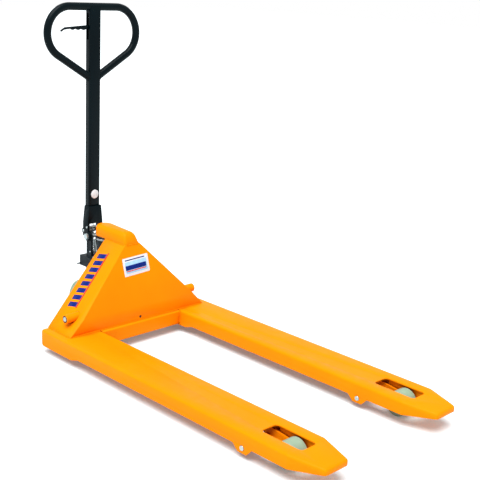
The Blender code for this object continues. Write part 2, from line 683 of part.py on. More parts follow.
# ---------------------------------------------------------------- rocker and push rods
def make_rocker(paints):
    """Torsion tube with two cranked rear arms and two slotted lower arms."""
    centre = Vector((BEAM_X + ROCKER_X, 0.0, ROCKER_Z))
    hub = (centre.x, centre.z)
    cross = (BEAM_X + CROSS_PIN_X, CROSS_PIN_Z)
    elbow = (BEAM_X + ROCKER_X - 0.020, CROSS_PIN_Z - 0.010)
    lean = math.pi * 1.5 - ROCKER_SWING / 2.0
    spoke = Vector((math.cos(lean), math.sin(lean)))
    arm_end = Vector(hub) + spoke * (ROCKER_SLOT_END + ARM_EDGE - ARM_HALF)
    slot_ends = [Vector(hub) + spoke * reach for reach in (ROCKER_SLOT_START, ROCKER_SLOT_END - SLOT_HALF)]
    body = rod(centre, "Y", ROCKER_TUBE_RADIUS, -ROCKER_HALF, ROCKER_HALF)
    pieces = []
    slots = []
    for side in (-1.0, 1.0):
        low, high = side * REAR_ARM_Y - ARM_PLATE / 2.0, side * REAR_ARM_Y + ARM_PLATE / 2.0
        pieces.append(prism(strip([hub, elbow, cross], ARM_HALF - 0.001), "Y", low, high))
        pieces.append(rod(centre, "Y", 0.024, low - 0.002, high + 0.002))
        low, high = side * LOWER_ARM_Y - ARM_PLATE / 2.0, side * LOWER_ARM_Y + ARM_PLATE / 2.0
        pieces.append(prism(strip([hub, arm_end], ARM_HALF), "Y", low, high))
        slots.append(prism(strip(slot_ends, SLOT_HALF), "Y", low - 0.01, high + 0.01))
    body = fuse(body, *pieces)
    bore = rod(centre, "Y", ROCKER_PIN_RADIUS + RUN, -0.4, 0.4)
    eye = rod((cross[0], 0, cross[1]), "Y", CROSS_PIN_RADIUS + GAP, -0.2, 0.2)
    add_object("rocker", cut(body, bore, eye, *slots), paints["black"], centre)
    reach = REAR_ARM_Y + ARM_PLATE / 2.0 + 0.003
    pin = rod((cross[0], 0, cross[1]), "Y", CROSS_PIN_RADIUS, -reach, reach, 0.001)
    add_object("rocker_cross_pin", pin, paints["zinc"], centre)


def make_push_rods(paints):
    """A flat link on edge from each lower rocker arm to its roller frame."""
    rear = (BEAM_X + ROD_REAR_X, ROD_REAR_Z)
    front = (BEAM_X + ROD_FRONT_X, ROD_FRONT_Z)
    elbow = (rear[0] + 0.020, ROD_BAR_Z)
    outline = strip([rear, elbow, front], ROD_HALF)
    for side, word in SIDES:
        middle = side * ROD_Y
        body = prism(outline, "Y", middle - ROD_PLATE / 2.0, middle + ROD_PLATE / 2.0)
        eyes = [rod((x, 0, z), "Y", ROD_PIN_RADIUS + GAP, middle - 0.02, middle + 0.02)
                for x, z in (rear, front)]
        pivot = (front[0], middle, front[1])
        add_object(f"push_rod_{word}", cut(body, *eyes), paints["black"], pivot)
        inner = LOWER_ARM_Y - ARM_PLATE / 2.0 - 0.0015
        outer = ROD_Y + ROD_PLATE / 2.0 + ARM_SIDE
        pin = rod((rear[0], 0, rear[1]), "Y", ROD_PIN_RADIUS, side * inner, side * outer, 0.0005)
        add_object(f"push_rod_pin_{word}", pin, paints["zinc"], pivot)


# ---------------------------------------------------------------- load rollers
def make_roller_frames(paints):
    """Two side plates on a cross tube, with the axle, the rod pin and the pivot shaft."""
    pivot = (BEAM_X + ROLLER_PIVOT_X, ROLLER_PIVOT_Z)
    axle = (BEAM_X + ROLLER_X, ROLLER_Z)
    joint = (BEAM_X + ROD_FRONT_X, ROD_FRONT_Z)
    outline = hull([(*pivot, 0.014), (*axle, 0.015), (*joint, ROD_HALF)])
    inner = ROLLER_WIDTH / 2.0 + ROLLER_SIDE
    outer = inner + ROLLER_FRAME_PLATE
    tube_half = FORK_WIDTH / 2.0 - DECK_PLATE - 0.0007
    for side, word in SIDES:
        middle = side * FORK_Y
        origin = (pivot[0], middle, pivot[1])
        body = rod((pivot[0], middle, pivot[1]), "Y", 0.0125, -tube_half, tube_half)
        plates = []
        for hand in (-1.0, 1.0):
            low, high = sorted((middle + hand * inner, middle + hand * outer))
            plates.append(prism(outline, "Y", low, high))
        body = fuse(body, *plates)
        bore = rod((pivot[0], middle, pivot[1]), "Y", SHAFT_RADIUS + RUN, -0.1, 0.1)
        axle_hole = rod((axle[0], middle, axle[1]), "Y", AXLE_RADIUS + GAP, -0.1, 0.1)
        pin_hole = rod((joint[0], middle, joint[1]), "Y", ROD_PIN_RADIUS + GAP, -0.1, 0.1)
        body = cut(body, bore, axle_hole, pin_hole)
        add_object(f"roller_frame_{word}", body, paints["orange"], origin)
        shaft = rod(origin, "Y", SHAFT_RADIUS, -FORK_WIDTH / 2.0 - 0.002, FORK_WIDTH / 2.0 + 0.002, 0.001)
        add_object(f"roller_pivot_shaft_{word}", shaft, paints["zinc"], origin)
        centre = (axle[0], middle, axle[1])
        bar = rod(centre, "Y", AXLE_RADIUS, -outer - 0.002, outer + 0.002, 0.001)
        add_object(f"roller_axle_{word}", bar, paints["zinc"], origin)
        low, high = ROD_Y - ROD_PLATE / 2.0 - 0.0015, FORK_Y + outer + 0.001
        pin = rod((joint[0], 0, joint[1]), "Y", ROD_PIN_RADIUS, side * low, side * high, 0.0005)
        add_object(f"roller_rod_pin_{word}", pin, paints["zinc"], origin)
        half = ROLLER_WIDTH / 2.0
        profile = [
            (AXLE_RADIUS + RUN, -half), (ROLLER_RADIUS - 0.003, -half), (ROLLER_RADIUS, -half + 0.003),
            (ROLLER_RADIUS, half - 0.003), (ROLLER_RADIUS - 0.003, half), (AXLE_RADIUS + RUN, half),
        ]
        add_object(f"load_roller_{word}", lathe(profile, centre, "Y", 32), paints["nylon"], centre)


# ---------------------------------------------------------------- steering unit
def make_bearing_bracket(paints):
    """Plate around the pump's neck whose slotted lug takes the rocker's cross pin."""
    x = BEAM_X + STEER_X
    top = BRACKET_BOTTOM + BRACKET_THICK
    low_x = BEAM_X + ROCKER_X - ROCKER_ARM - CROSS_PIN_RADIUS - 0.001
    high_x = BEAM_X + CROSS_PIN_X + CROSS_PIN_RADIUS + 0.001
    low_z = CROSS_PIN_Z - CROSS_PIN_RADIUS - 0.0015
    high_z = CROSS_PIN_Z + CROSS_PIN_RADIUS + 0.0045
    rim = 0.005
    plan = hull([(x, 0.0, 0.045), (high_x - 0.010, -0.017, 0.010), (high_x - 0.010, 0.017, 0.010)])
    body = prism(plan, "Z", BRACKET_BOTTOM, top)
    lug = rectangle((low_x - rim, BRACKET_BOTTOM + 0.001), (high_x + rim, high_z + rim), 0.006)
    body = fuse(body, prism(lug, "Y", -0.025, 0.025))
    neck = rod((x, 0, 0), "Z", NECK_RADIUS + RUN, 0.1, 0.4, segments=24)
    slot = prism(rectangle((low_x, low_z), (high_x, high_z), 0.006), "Y", -0.1, 0.1)
    add_object("bearing_bracket", cut(body, neck, slot), paints["black"])
    ring = tube((x, 0, 0), "Z", 0.034, NECK_RADIUS + RUN, top + GAP, BLOCK_BOTTOM - GAP, 0.001, 24)
    add_object("thrust_bearing", ring, paints["steel"])


def make_pump(paints):
    """Pump housing with the neck, axle block, tiller lugs and plunger sleeve."""
    x = BEAM_X + STEER_X
    plunger = BEAM_X + PLUNGER_X
    pivot = BEAM_X + PIVOT_X
    axis = (x, 0, 0)
    inner = WHEEL_OUTER - WHEEL_WIDTH - 0.0008
    rear = BEAM_X + REAR_REACH
    corner = 0.005
    block = hull([
        (x, 0.0, BLOCK_HALF),
        (rear + corner, BLOCK_HALF - corner, corner),
        (rear + corner, corner - BLOCK_HALF, corner),
    ])
    body = prism(block, "Z", BLOCK_BOTTOM, BLOCK_TOP)
    neck = rod(axis, "Z", NECK_RADIUS, 0.120, BLOCK_BOTTOM + 0.01, segments=24)
    hanger = rectangle((x - 0.022, WHEEL_RADIUS - 0.022), (x + 0.022, WHEEL_RADIUS + 0.034), 0.012)
    sleeve = rod((plunger, 0, 0), "Z", 0.0165, SLEEVE_BOTTOM, BLOCK_BOTTOM + 0.01, 0.002)
    lugs = []
    for side, word in SIDES:
        low, high = sorted((side * LUG_INNER, side * LUG_OUTER))
        lugs.append(prism(strip([(pivot, BLOCK_TOP - 0.010), (pivot, PIVOT_Z)], 0.0155, 8), "Y", low, high))
    stub = rod((rear + corner, 0, BLOCK_BOTTOM + 0.0065), "Y", 0.0025, -0.049, -0.030, segments=12)
    body = fuse(body, neck, prism(hanger, "Y", -inner, inner), sleeve, stub, *lugs)
    bore = rod(axis, "Z", BORE_RADIUS, RAM_BOTTOM - 0.010, 0.500)
    plunger_bore = rod((plunger, 0, 0), "Z", PLUNGER_RADIUS + RUN, SLEEVE_BOTTOM + 0.005, 0.500)
    axle = rod((x, 0, WHEEL_RADIUS), "Y", STEER_AXLE_RADIUS + GAP, -0.2, 0.2)
    hinge = rod((pivot, 0, PIVOT_Z), "Y", PIVOT_RADIUS + GAP, -0.2, 0.2)
    small = rod((BEAM_X + RELEASE_X, 0, RELEASE_Z), "Y", RELEASE_PIN_RADIUS + GAP, -0.2, 0.2)
    port = rod((BEAM_X + FILLER_X, FILLER_Y, 0), "Z", FILLER_RADIUS + GAP, BLOCK_TOP - 0.006, 0.300)
    seat = rod((BEAM_X + VALVE_X, 0, 0), "Z", VALVE_RADIUS + RUN, BLOCK_TOP - VALVE_DEPTH, 0.300)
    body = cut(body, bore, plunger_bore, axle, hinge, small, port, seat)
    add_object("pump_housing", body, paints["casting"], axis)
    barrel = tube(axis, "Z", BARREL_RADIUS, BORE_RADIUS, BLOCK_TOP + GAP, BARREL_TOP, segments=24)
    add_object("lift_cylinder", barrel, paints["casting"], axis)
    collar = BARREL_RADIUS + 0.0025
    gland = tube(axis, "Z", collar, BORE_RADIUS, BARREL_TOP + GAP, BARREL_TOP + 0.008, 0.0015, 24)
    add_object("cylinder_gland", gland, paints["steel"], axis)
    ram = rod(axis, "Z", RAM_RADIUS, RAM_BOTTOM, RAM_TOP, 0.003)
    add_object("lift_ram", ram, paints["steel"])
    plug = rod((BEAM_X + FILLER_X, FILLER_Y, 0), "Z", FILLER_RADIUS, BLOCK_TOP - 0.0055, BLOCK_TOP + 0.005,
               0.001, 16)
    add_object("filler_plug", plug, paints["zinc"], axis)


def make_steering_wheels(paints):
    """Axle, two nylon wheels, their ball bearings and the retaining clips."""
    x = BEAM_X + STEER_X
    centre = (x, 0, WHEEL_RADIUS)
    axle_half = WHEEL_OUTER + 0.006
    bar = rod(centre, "Y", STEER_AXLE_RADIUS, -axle_half, axle_half, 0.001)
    add_object("steering_axle", bar, paints["steel"], centre)
    bore = 0.0205
    seat = 0.012
    web = 0.009
    width = WHEEL_WIDTH
    profile = [
        (bore, 0.0), (0.038, 0.0), (0.044, web), (0.074, web), (0.080, 0.0), (0.094, 0.0),
        (WHEEL_RADIUS, 0.006), (WHEEL_RADIUS, width - 0.006), (0.094, width), (0.080, width),
        (0.074, width - web), (0.044, width - web), (0.038, width), (bore, width),
    ]
    for side, word in SIDES:
        outer = side * WHEEL_OUTER
        turned = [(radius, outer - side * along) for radius, along in profile]
        add_object(f"steering_wheel_{word}", lathe(turned, centre, "Y", 32), paints["nylon"],
                   (x, side * (WHEEL_OUTER - width / 2.0), WHEEL_RADIUS))
        for place, start in (("outer", 0.001), ("inner", width - seat - 0.001)):
            race = tube(centre, "Y", bore - GAP, STEER_AXLE_RADIUS + RUN, outer - side * start,
                        outer - side * (start + seat), segments=32)
            add_object(f"wheel_bearing_{place}_{word}", race, paints["steel"],
                       (x, side * (WHEEL_OUTER - width / 2.0), WHEEL_RADIUS))
        clip = tube(centre, "Y", 0.0145, STEER_AXLE_RADIUS + GAP, outer + side * 0.001, outer + side * 0.003)
        add_object(f"axle_clip_{word}", clip, paints["zinc"], centre)


def make_plunger(paints):
    """Pump plunger under the tiller's roller, with its return spring."""
    x = BEAM_X + PLUNGER_X
    top = PRESS_Z - PRESS_RADIUS - 0.0006
    head = 0.0135
    profile = [
        (0.0, PLUNGER_BOTTOM), (PLUNGER_RADIUS, PLUNGER_BOTTOM), (PLUNGER_RADIUS, HEAD_Z),
        (head, HEAD_Z), (head, top - 0.0015), (head - 0.0015, top), (0.0, top),
    ]
    add_object("plunger", lathe(profile, (x, 0, 0), "Z"), paints["steel"], (x, 0, HEAD_Z))
    make_spring((x, 0, 0), BLOCK_TOP + GAP, HEAD_Z - GAP, paints["spring"])


def make_spring(centre, low, high, material):
    """One helix of round wire between two seats."""
    turns, per_turn = 9, 8
    wire, mean = 0.0015, 0.0116
    bottom, rise = low + wire, high - low - 2.0 * wire
    count = turns * per_turn
    points = []
    for index in range(count + 1):
        angle = 2.0 * math.pi * index / per_turn
        height = bottom + rise * index / count
        points.append(Vector((mean * math.cos(angle), mean * math.sin(angle), height)))
    least = min((points[index + per_turn - back] - points[index]).length
                for index in range(count + 1 - per_turn) for back in (0, 1))
    print(f"plunger_spring: least gap between its turns {1000.0 * (least - 2.0 * wire):.2f} mm")
    curve = bpy.data.curves.new("plunger_spring", "CURVE")
    curve.dimensions = "3D"
    curve.bevel_depth = wire
    curve.bevel_resolution = 1
    curve.use_fill_caps = True
    spline = curve.splines.new("POLY")
    spline.points.add(count)
    for target, point in zip(spline.points, points):
        target.co = (*point, 1.0)
    curve.materials.append(material)
    item = bpy.data.objects.new("plunger_spring", curve)
    item.location = centre
    bpy.context.collection.objects.link(item)


def make_release(paints):
    """Lowering valve stem and the small lever between the tiller lugs that presses it."""
    x, z = BEAM_X + RELEASE_X, RELEASE_Z
    foot = (BEAM_X + VALVE_X, BLOCK_TOP + 0.0115)
    body = prism(strip([(x - 0.007, z + 0.040), (x, z), foot], 0.005), "Y", -0.003, 0.003)
    hole = rod((x, 0, z), "Y", RELEASE_PIN_RADIUS + GAP, -0.01, 0.01)
    add_object("release_lever", cut(body, hole), paints["zinc"], (x, 0, z))
    pin = rod((x, 0, z), "Y", RELEASE_PIN_RADIUS, -LUG_OUTER - 0.0015, LUG_OUTER + 0.0015)
    add_object("release_pin", pin, paints["zinc"], (BEAM_X + STEER_X, 0, 0))
    stem = rod((foot[0], 0, 0), "Z", VALVE_RADIUS, BLOCK_TOP - VALVE_DEPTH / 2.0, foot[1] - 0.005 - 2.0 * GAP)
    add_object("release_valve", stem, paints["zinc"], (foot[0], 0, BLOCK_TOP))


# ---------------------------------------------------------------- tiller
def tube_outline(grow):
    """Plan section of the tiller tube, grown or shrunk by a distance."""
    x = BEAM_X + TUBE_X
    half_x, half_y = TUBE_DEPTH / 2.0 + grow, TUBE_WIDTH / 2.0 + grow
    return rectangle((x - half_x, -half_y), (x + half_x, half_y), 0.007 + grow)


def make_tiller_tube(paints):
    """Rectangular tube, coped under the loop's top bar and slotted for the lever."""
    x = BEAM_X + TUBE_X
    body = prism(tube_outline(0.0), "Z", TUBE_FOOT, LOOP_TOP_Z)
    hollow = prism(tube_outline(-TUBE_WALL), "Z", TUBE_FOOT - 0.02, LOOP_TOP_Z - 0.024)
    saddle = rod((x, 0, LOOP_TOP_Z), "Y", LOOP_TUBE_RADIUS + GAP, -0.1, 0.1)
    half, wall = LEVER_SLOT / 2.0, 0.005 - TUBE_WIDTH / 2.0
    slot = box((x - half, -TUBE_WIDTH, LEVER_Z - 0.043), (x + half, wall, LEVER_Z + 0.050))
    fixing = rod((x - FIXING_BACK, 0, FIXING_Z), "Y", FIXING_RADIUS + GAP, -0.1, 0.1)
    body = cut(body, hollow, saddle, slot, fixing)
    add_object("tiller_tube", body, paints["black"], TILLER_ORIGIN)


def loop_path():
    """Middle line of the loop, from the right leg over the top to the left leg."""
    x = BEAM_X + TUBE_X
    shoulder = LOOP_REACH - LOOP_SHOULDER
    shoulder_z = LOOP_TOP_Z - LOOP_SHOULDER
    cheek = LOOP_REACH - LOOP_CHEEK
    turn = 90.0 - math.degrees(LOOP_LEG_SLOPE)
    lower = arc((cheek, shoulder_z), LOOP_CHEEK, -turn, 0.0, 8)
    upper = arc((shoulder, shoulder_z), LOOP_SHOULDER, 0.0, 90.0, 10)
    start = lower[0]
    foot_y = TUBE_WIDTH / 2.0 - 0.012
    foot_z = start[1] - (start[0] - foot_y) * math.tan(LOOP_LEG_SLOPE)
    left = [(foot_y, foot_z)] + lower + upper[1:]
    half = [(x, y, z) for y, z in left]
    return half + [(x, -y, z) for x, y, z in half[::-1]]


def make_tiller_loop(paints):
    """The closed hand loop: one bent tube whose two feet are coped to the tiller tube."""
    body = sweep(loop_path(), LOOP_TUBE_RADIUS)
    hollow = sweep(loop_path(), LOOP_TUBE_RADIUS - TUBE_WALL, 8)
    low = prism(tube_outline(GAP), "Z", 0.80, LOOP_TOP_Z - LOOP_TUBE_RADIUS - 0.006)
    add_object("tiller_loop", cut(body, low, hollow), paints["black"], TILLER_ORIGIN)


def make_tiller_yoke(paints):
    """Socket for the tiller tube whose two cheeks straddle the pump's lugs."""
    pivot = BEAM_X + PIVOT_X
    tube_x = BEAM_X + TUBE_X
    press = BEAM_X + PLUNGER_X
    rear, front = BEAM_X + YOKE_REAR, tube_x + TUBE_DEPTH / 2.0 + 0.0045
    boss = 0.018
    cheek_in, cheek_out = YOKE_HALF - YOKE_CHEEK, YOKE_HALF
    shape = [
        (-cheek_out, PIVOT_Z - boss), (cheek_out, PIVOT_Z - boss), (cheek_out, TUBE_FOOT + 0.008),
        (YOKE_HALF_TOP, YOKE_TOP), (-YOKE_HALF_TOP, YOKE_TOP), (-cheek_out, TUBE_FOOT + 0.008),
    ]
    side = prism(rectangle((rear, PIVOT_Z), (front, YOKE_TOP + 0.01), 0.0), "Y", -0.05, 0.05)
    ears = prism(hull([(pivot, PIVOT_Z, boss), (press, PRESS_Z, 0.010)], 24), "Y", -0.06, 0.06)
    body = combine(prism(shape, "X", rear - 0.05, front + 0.05), [fuse(side, ears)], "INTERSECT")
    socket = prism(tube_outline(GAP), "Z", TUBE_FOOT - GAP, YOKE_TOP + 0.05)
    gap = box((rear - 0.05, -cheek_in, PIVOT_Z - 0.05), (front + 0.05, cheek_in, TUBE_FOOT + 0.002))
    hinge = rod((pivot, 0, PIVOT_Z), "Y", PIVOT_RADIUS + RUN, -0.1, 0.1)
    axle = rod((press, 0, PRESS_Z), "Y", PRESS_PIN_RADIUS + GAP, -0.1, 0.1)
    guide = rod((pivot, 0, GUIDE_Z), "Y", GUIDE_RADIUS + GAP, -0.1, 0.1)
    fixing = rod((tube_x - FIXING_BACK, 0, FIXING_Z), "Y", FIXING_RADIUS + GAP, -0.1, 0.1)
    body = cut(body, gap, socket, hinge, axle, guide, fixing)
    add_object("tiller_yoke", body, paints["black"], TILLER_ORIGIN)
    pin = rod((tube_x - FIXING_BACK, 0, FIXING_Z), "Y", FIXING_RADIUS, -YOKE_HALF + 0.006, YOKE_HALF - 0.006)
    add_object("tube_fixing_pin", pin, paints["black"], TILLER_ORIGIN)
    pin = rod((press, 0, PRESS_Z), "Y", PRESS_PIN_RADIUS, -YOKE_HALF - 0.001, YOKE_HALF + 0.001)
    add_object("press_roller_pin", pin, paints["zinc"], TILLER_ORIGIN)
    roller = tube((press, 0, PRESS_Z), "Y", PRESS_RADIUS, PRESS_PIN_RADIUS + RUN,
                  -LUG_INNER + 0.002, LUG_INNER - 0.002, 0.001)
    add_object("press_roller", roller, paints["steel"], (press, 0, PRESS_Z))
    pin = rod((pivot, 0, GUIDE_Z), "Y", GUIDE_RADIUS, -YOKE_HALF - 0.002, YOKE_HALF + 0.002, 0.0005)
    add_object("chain_guide_pin", pin, paints["zinc"], TILLER_ORIGIN)
    head = 0.0125
    profile = [
        (0.0, -YOKE_HALF - 0.007), (head - 0.001, -YOKE_HALF - 0.007), (head, -YOKE_HALF - 0.006),
        (head, -YOKE_HALF - GAP), (PIVOT_RADIUS, -YOKE_HALF - GAP), (PIVOT_RADIUS, YOKE_HALF + 0.009),
        (0.0, YOKE_HALF + 0.009),
    ]
    bolt = lathe(profile, (pivot, 0, PIVOT_Z), "Y")
    add_object("tiller_pivot_bolt", bolt, paints["zinc"], (BEAM_X + STEER_X, 0, 0))
    nut = cut(rod((pivot, 0, PIVOT_Z), "Y", 0.0115, YOKE_HALF + GAP, YOKE_HALF + 0.007, segments=6),
              rod((pivot, 0, PIVOT_Z), "Y", PIVOT_RADIUS + GAP, 0.0, 0.1))
    add_object("tiller_pivot_nut", nut, paints["zinc"], (BEAM_X + STEER_X, 0, 0))


def lever_outline():
    """Finger lever seen from the front: thick root, scalloped underside, hooked tip."""
    root = LEVER_PIVOT_Y + 0.007
    upper = [(root, LEVER_Z + 0.0085), (-0.030, LEVER_Z + 0.0080), (-0.080, LEVER_Z + 0.0040),
             (-LEVER_REACH, LEVER_Z + 0.0005), (-LEVER_REACH - 0.012, LEVER_Z - 0.0065),
             (-LEVER_REACH - 0.019, LEVER_Z - 0.0120)]
    hook = [(-LEVER_REACH - 0.0155, LEVER_Z - 0.0155), (-LEVER_REACH - 0.006, LEVER_Z - 0.0085),
            (-LEVER_REACH + 0.008, LEVER_Z - 0.0065)]
    lower = []
    scallops, per_scallop = 3, 6
    start, end = -LEVER_REACH + 0.020, -0.032
    for index in range(scallops * per_scallop + 1):
        share = index / (scallops * per_scallop)
        wave = 0.0018 * math.cos(2.0 * math.pi * scallops * share)
        lower.append((start + (end - start) * share, LEVER_Z - 0.0070 - 0.0010 * share + wave))
    return (upper + hook + lower + [(root, LEVER_Z - 0.0085)])[::-1]


def make_hand_lever(paints):
    """Finger lever in the tiller, its pins, and the rod and chain that it pulls."""
    x = BEAM_X + TUBE_X
    pivot = (x, LEVER_PIVOT_Y, LEVER_Z)
    body = prism(lever_outline(), "X", x - LEVER_THICK / 2.0, x + LEVER_THICK / 2.0)
    hole = rod(pivot, "X", LEVER_PIN_RADIUS + GAP, -0.1, 0.1)
    add_object("finger_lever", cut(body, hole), paints["black"], pivot)
    reach = TUBE_DEPTH / 2.0 - TUBE_WALL - GAP
    pin = rod(pivot, "X", LEVER_PIN_RADIUS, -reach, reach)
    add_object("lever_pivot_pin", pin, paints["zinc"], TILLER_ORIGIN)
    stop = (x, -TUBE_WIDTH / 2.0 + TUBE_WALL + 0.0065, LEVER_Z + 0.035)
    pin = rod(stop, "X", LEVER_PIN_RADIUS, -reach, reach)
    add_object("lever_stop_pin", pin, paints["zinc"], TILLER_ORIGIN)
    chain_x = BEAM_X + CHAIN_X
    wire = rod((chain_x, 0, 0), "Z", 0.003, CHAIN_TOP + GAP, LEVER_Z - 0.0086, segments=12)
    add_object("pull_rod", wire, paints["zinc"], (chain_x, 0, CHAIN_TOP))
    balls = 8
    pitch = (CHAIN_TOP - CHAIN_FOOT) / balls
    profile = [(0.0, CHAIN_FOOT)]
    for number in range(balls):
        low = CHAIN_FOOT + pitch * number
        profile += [(0.0019, low + pitch * 0.30), (0.0019, low + pitch * 0.70)]
        profile.append((0.0009, low + pitch) if number < balls - 1 else (0.0, low + pitch))
    chain = lathe(profile, (chain_x, 0, 0), "Z", 8)
    add_object("release_chain", chain, paints["zinc"], (chain_x, 0, CHAIN_TOP))


# ---------------------------------------------------------------- the whole object
def make_paints():
    """The object's finishes."""
    return {
        "orange": paint("orange_paint", (0.95, 0.42, 0.01), 0.38, 0.0),
        "black": paint("black_paint", (0.006, 0.014, 0.022), 0.35, 0.0),
        "casting": paint("black_casting", (0.008, 0.012, 0.014), 0.55, 0.0),
        "zinc": paint("zinc_plate", (0.62, 0.66, 0.66), 0.35, 1.0),
        "steel": paint("ground_steel", (0.55, 0.56, 0.57), 0.25, 1.0),
        "spring": paint("spring_steel", (0.10, 0.11, 0.12), 0.35, 1.0),
        "nylon": paint("nylon", (0.55, 0.68, 0.50), 0.45, 0.0),
    }


def main():
    clear_scene()
    paints = make_paints()
    for side, word in SIDES:
        make_fork(side, word, paints["orange"])
    make_nose_frame(paints["orange"])
    make_cross_beam(paints["orange"])
    make_ram_cap(paints["orange"])
    make_rocker_bosses(paints)
    make_rocker(paints)
    make_push_rods(paints)
    make_roller_frames(paints)
    make_bearing_bracket(paints)
    make_pump(paints)
    make_steering_wheels(paints)
    make_plunger(paints)
    make_release(paints)
    make_tiller_tube(paints)
    make_tiller_loop(paints)
    make_tiller_yoke(paints)
    make_hand_lever(paints)


main()
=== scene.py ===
"""Looks of a hand pallet jack: fine surfaces, paint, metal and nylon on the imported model.

Metres, +Z up, forks pointing along +X, floor at z = 0.  Each fine piece is made from the model's
own node or turned to its measured box, and rides on the same body.
"""
import json
import math

import bmesh
import bpy
from mathutils import Matrix, Vector


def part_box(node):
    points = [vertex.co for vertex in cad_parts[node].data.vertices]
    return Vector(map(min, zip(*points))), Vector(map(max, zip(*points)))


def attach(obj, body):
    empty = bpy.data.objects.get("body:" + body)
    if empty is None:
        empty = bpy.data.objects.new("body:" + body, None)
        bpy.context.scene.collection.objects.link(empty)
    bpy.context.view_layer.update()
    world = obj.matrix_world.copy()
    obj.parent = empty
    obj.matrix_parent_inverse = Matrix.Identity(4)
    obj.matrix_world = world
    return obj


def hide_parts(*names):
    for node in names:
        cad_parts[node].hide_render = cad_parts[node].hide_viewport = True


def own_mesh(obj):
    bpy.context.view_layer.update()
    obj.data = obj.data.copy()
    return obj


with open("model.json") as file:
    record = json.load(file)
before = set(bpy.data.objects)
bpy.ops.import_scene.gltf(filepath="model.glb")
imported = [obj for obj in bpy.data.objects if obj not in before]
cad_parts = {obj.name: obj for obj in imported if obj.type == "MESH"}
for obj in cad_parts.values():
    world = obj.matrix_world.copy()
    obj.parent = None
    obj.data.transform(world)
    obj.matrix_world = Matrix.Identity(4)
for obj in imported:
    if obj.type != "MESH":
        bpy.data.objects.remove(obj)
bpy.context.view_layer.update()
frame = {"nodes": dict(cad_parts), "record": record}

# ---------------------------------------------------------------- camera, as in the photograph
LENS = 70.425                # mm
SENSOR = 36.0                # mm wide
CAMERA_AT = (2.137, -2.090, 1.313)
CAMERA_YAW = math.radians(134.5)
CAMERA_PITCH = math.radians(-15.4)
CAMERA_ROLL = math.radians(2.81)

# ---------------------------------------------------------------- light, as in the photograph
WORLD_LEVEL = 0.50           # light of the room; where the room itself is seen, it is white
KEY_LEVEL = 3.9
KEY_ANGLE = math.radians(50.0)       # how wide the key is, for soft shadows
KEY_TILT = (math.radians(20.0), math.radians(8.0), 0.0)
FLOOR_COLOUR = (0.80, 0.86, 0.88)    # slightly cool, against the orange light in the shadow
FLOOR_GLOW = 0.14            # added where the camera or a gloss sees the floor
FLOOR_HALF = 30.0            # half its width

# ---------------------------------------------------------------- places on the object
BEAM_X = -0.39901            # front face of the cross beam
PLATE_SETBACK = 0.015        # sloping plate behind the beam's face
PLATE_BEND_Z = 0.140         # the plate is upright below this
PLATE_LEAN = 0.25            # and leans back above it by this much per metre
PLATE_FOOT = 0.0853
PLATE_HALF_BASE = 0.3116     # half width of the nose frame at its foot
NOSE_HALF = 0.0346           # the same under the cap
NOSE_BASE_Z = 0.3623         # underside of the cap
PLATE_SLOPE = (PLATE_HALF_BASE - NOSE_HALF) / (NOSE_BASE_Z - PLATE_FOOT)
FLANGE_REAR_TOP = 0.190      # flange's rear edge under the cap, behind the beam's face
BEND_RADIUS = 0.012          # of the bend between plate and flange
FORK_INNER = 0.1825          # inner face of a fork
FLANGE_WELD_REAR = 0.1535    # welds' rear ends, behind the beam's face
CAP_WELD_REAR = FLANGE_REAR_TOP - 0.004
BEAM_WELD_Z = (0.036, 0.080)     # lower and upper end
BEND_CUT = 0.004             # how far a bead cuts off the corner of a bend
CAP_BEND = 0.010             # the same bend under the cap
CAP_CUT = 0.003
DRAIN_RISE = 0.012           # drain plug above the plate's foot
DRAIN_OUTLINE = ((0.0, -0.0035), (0.0052, -0.0035), (0.0052, -0.0012), (0.0, -0.0006))
TUBE_X = BEAM_X - 0.318      # tiller tube's axis
TUBE_HALF_X = 0.015          # half its depth and half its width
TUBE_HALF_Y = 0.025

# Hand loop
LOOP_RADIUS = 0.014          # of the bar
LOOP_TOP_Z = 1.199           # places are those of the bar's middle line
LOOP_REACH = 0.197
LOOP_SHOULDER = 0.094        # radius of the upper bends
LOOP_CHEEK = 0.090           # radius of the lower bends
LOOP_LEG_SLOPE = math.radians(31.0)
# Bead under the top bar: forward of the tube's axis, and up from near the bar's underside
BAR_WELD_PATH = ((-0.0105, 0.006), (-0.006, -0.0015), (0.0, -0.0035), (0.006, -0.0015), (0.0105, 0.006))

# Weld beads: radii, and the ripples along them
FLANGE_WELD = 0.0024
PLATE_WELD = 0.0020
CAP_WELD = 0.0016
LOOP_WELD = 0.0022
BAR_WELD = 0.0018
WELD_LIFT = 0.0005           # from a bead's middle to the plates
WELD_RIPPLE = 0.0042         # from wave to wave
WELD_WAVE = 0.10             # height of a wave, as a share of the radius
WELD_SIDES = 10

# Rounded edges of the refined solids
HARD_EDGE = math.radians(38.0)       # what is rounded turns by more than this
SAME_PLACE = 0.00002
SAME_PLANE = math.radians(0.8)
THIN_EDGE = 0.0005
BAR_EDGE = 0.0006
SHEET_EDGE = 0.0008
CAST_EDGE = 0.0010
LEVER_EDGE = 0.0016

# Pins and their retaining rings
PIN_CHAMFER = 0.0010
PIN_MARK = 0.0018            # radius of the centre mark
GROOVE_WIDTH = 0.0012
GROOVE_DEPTH = 0.0007
RING_WIDTH = 0.0032          # retaining ring, from its bore to its rim
RING_GAP = 0.0002            # between the ring's bore and the pin
BOSS_BORE = 0.0093
BOSS_CHAMFER = 0.001

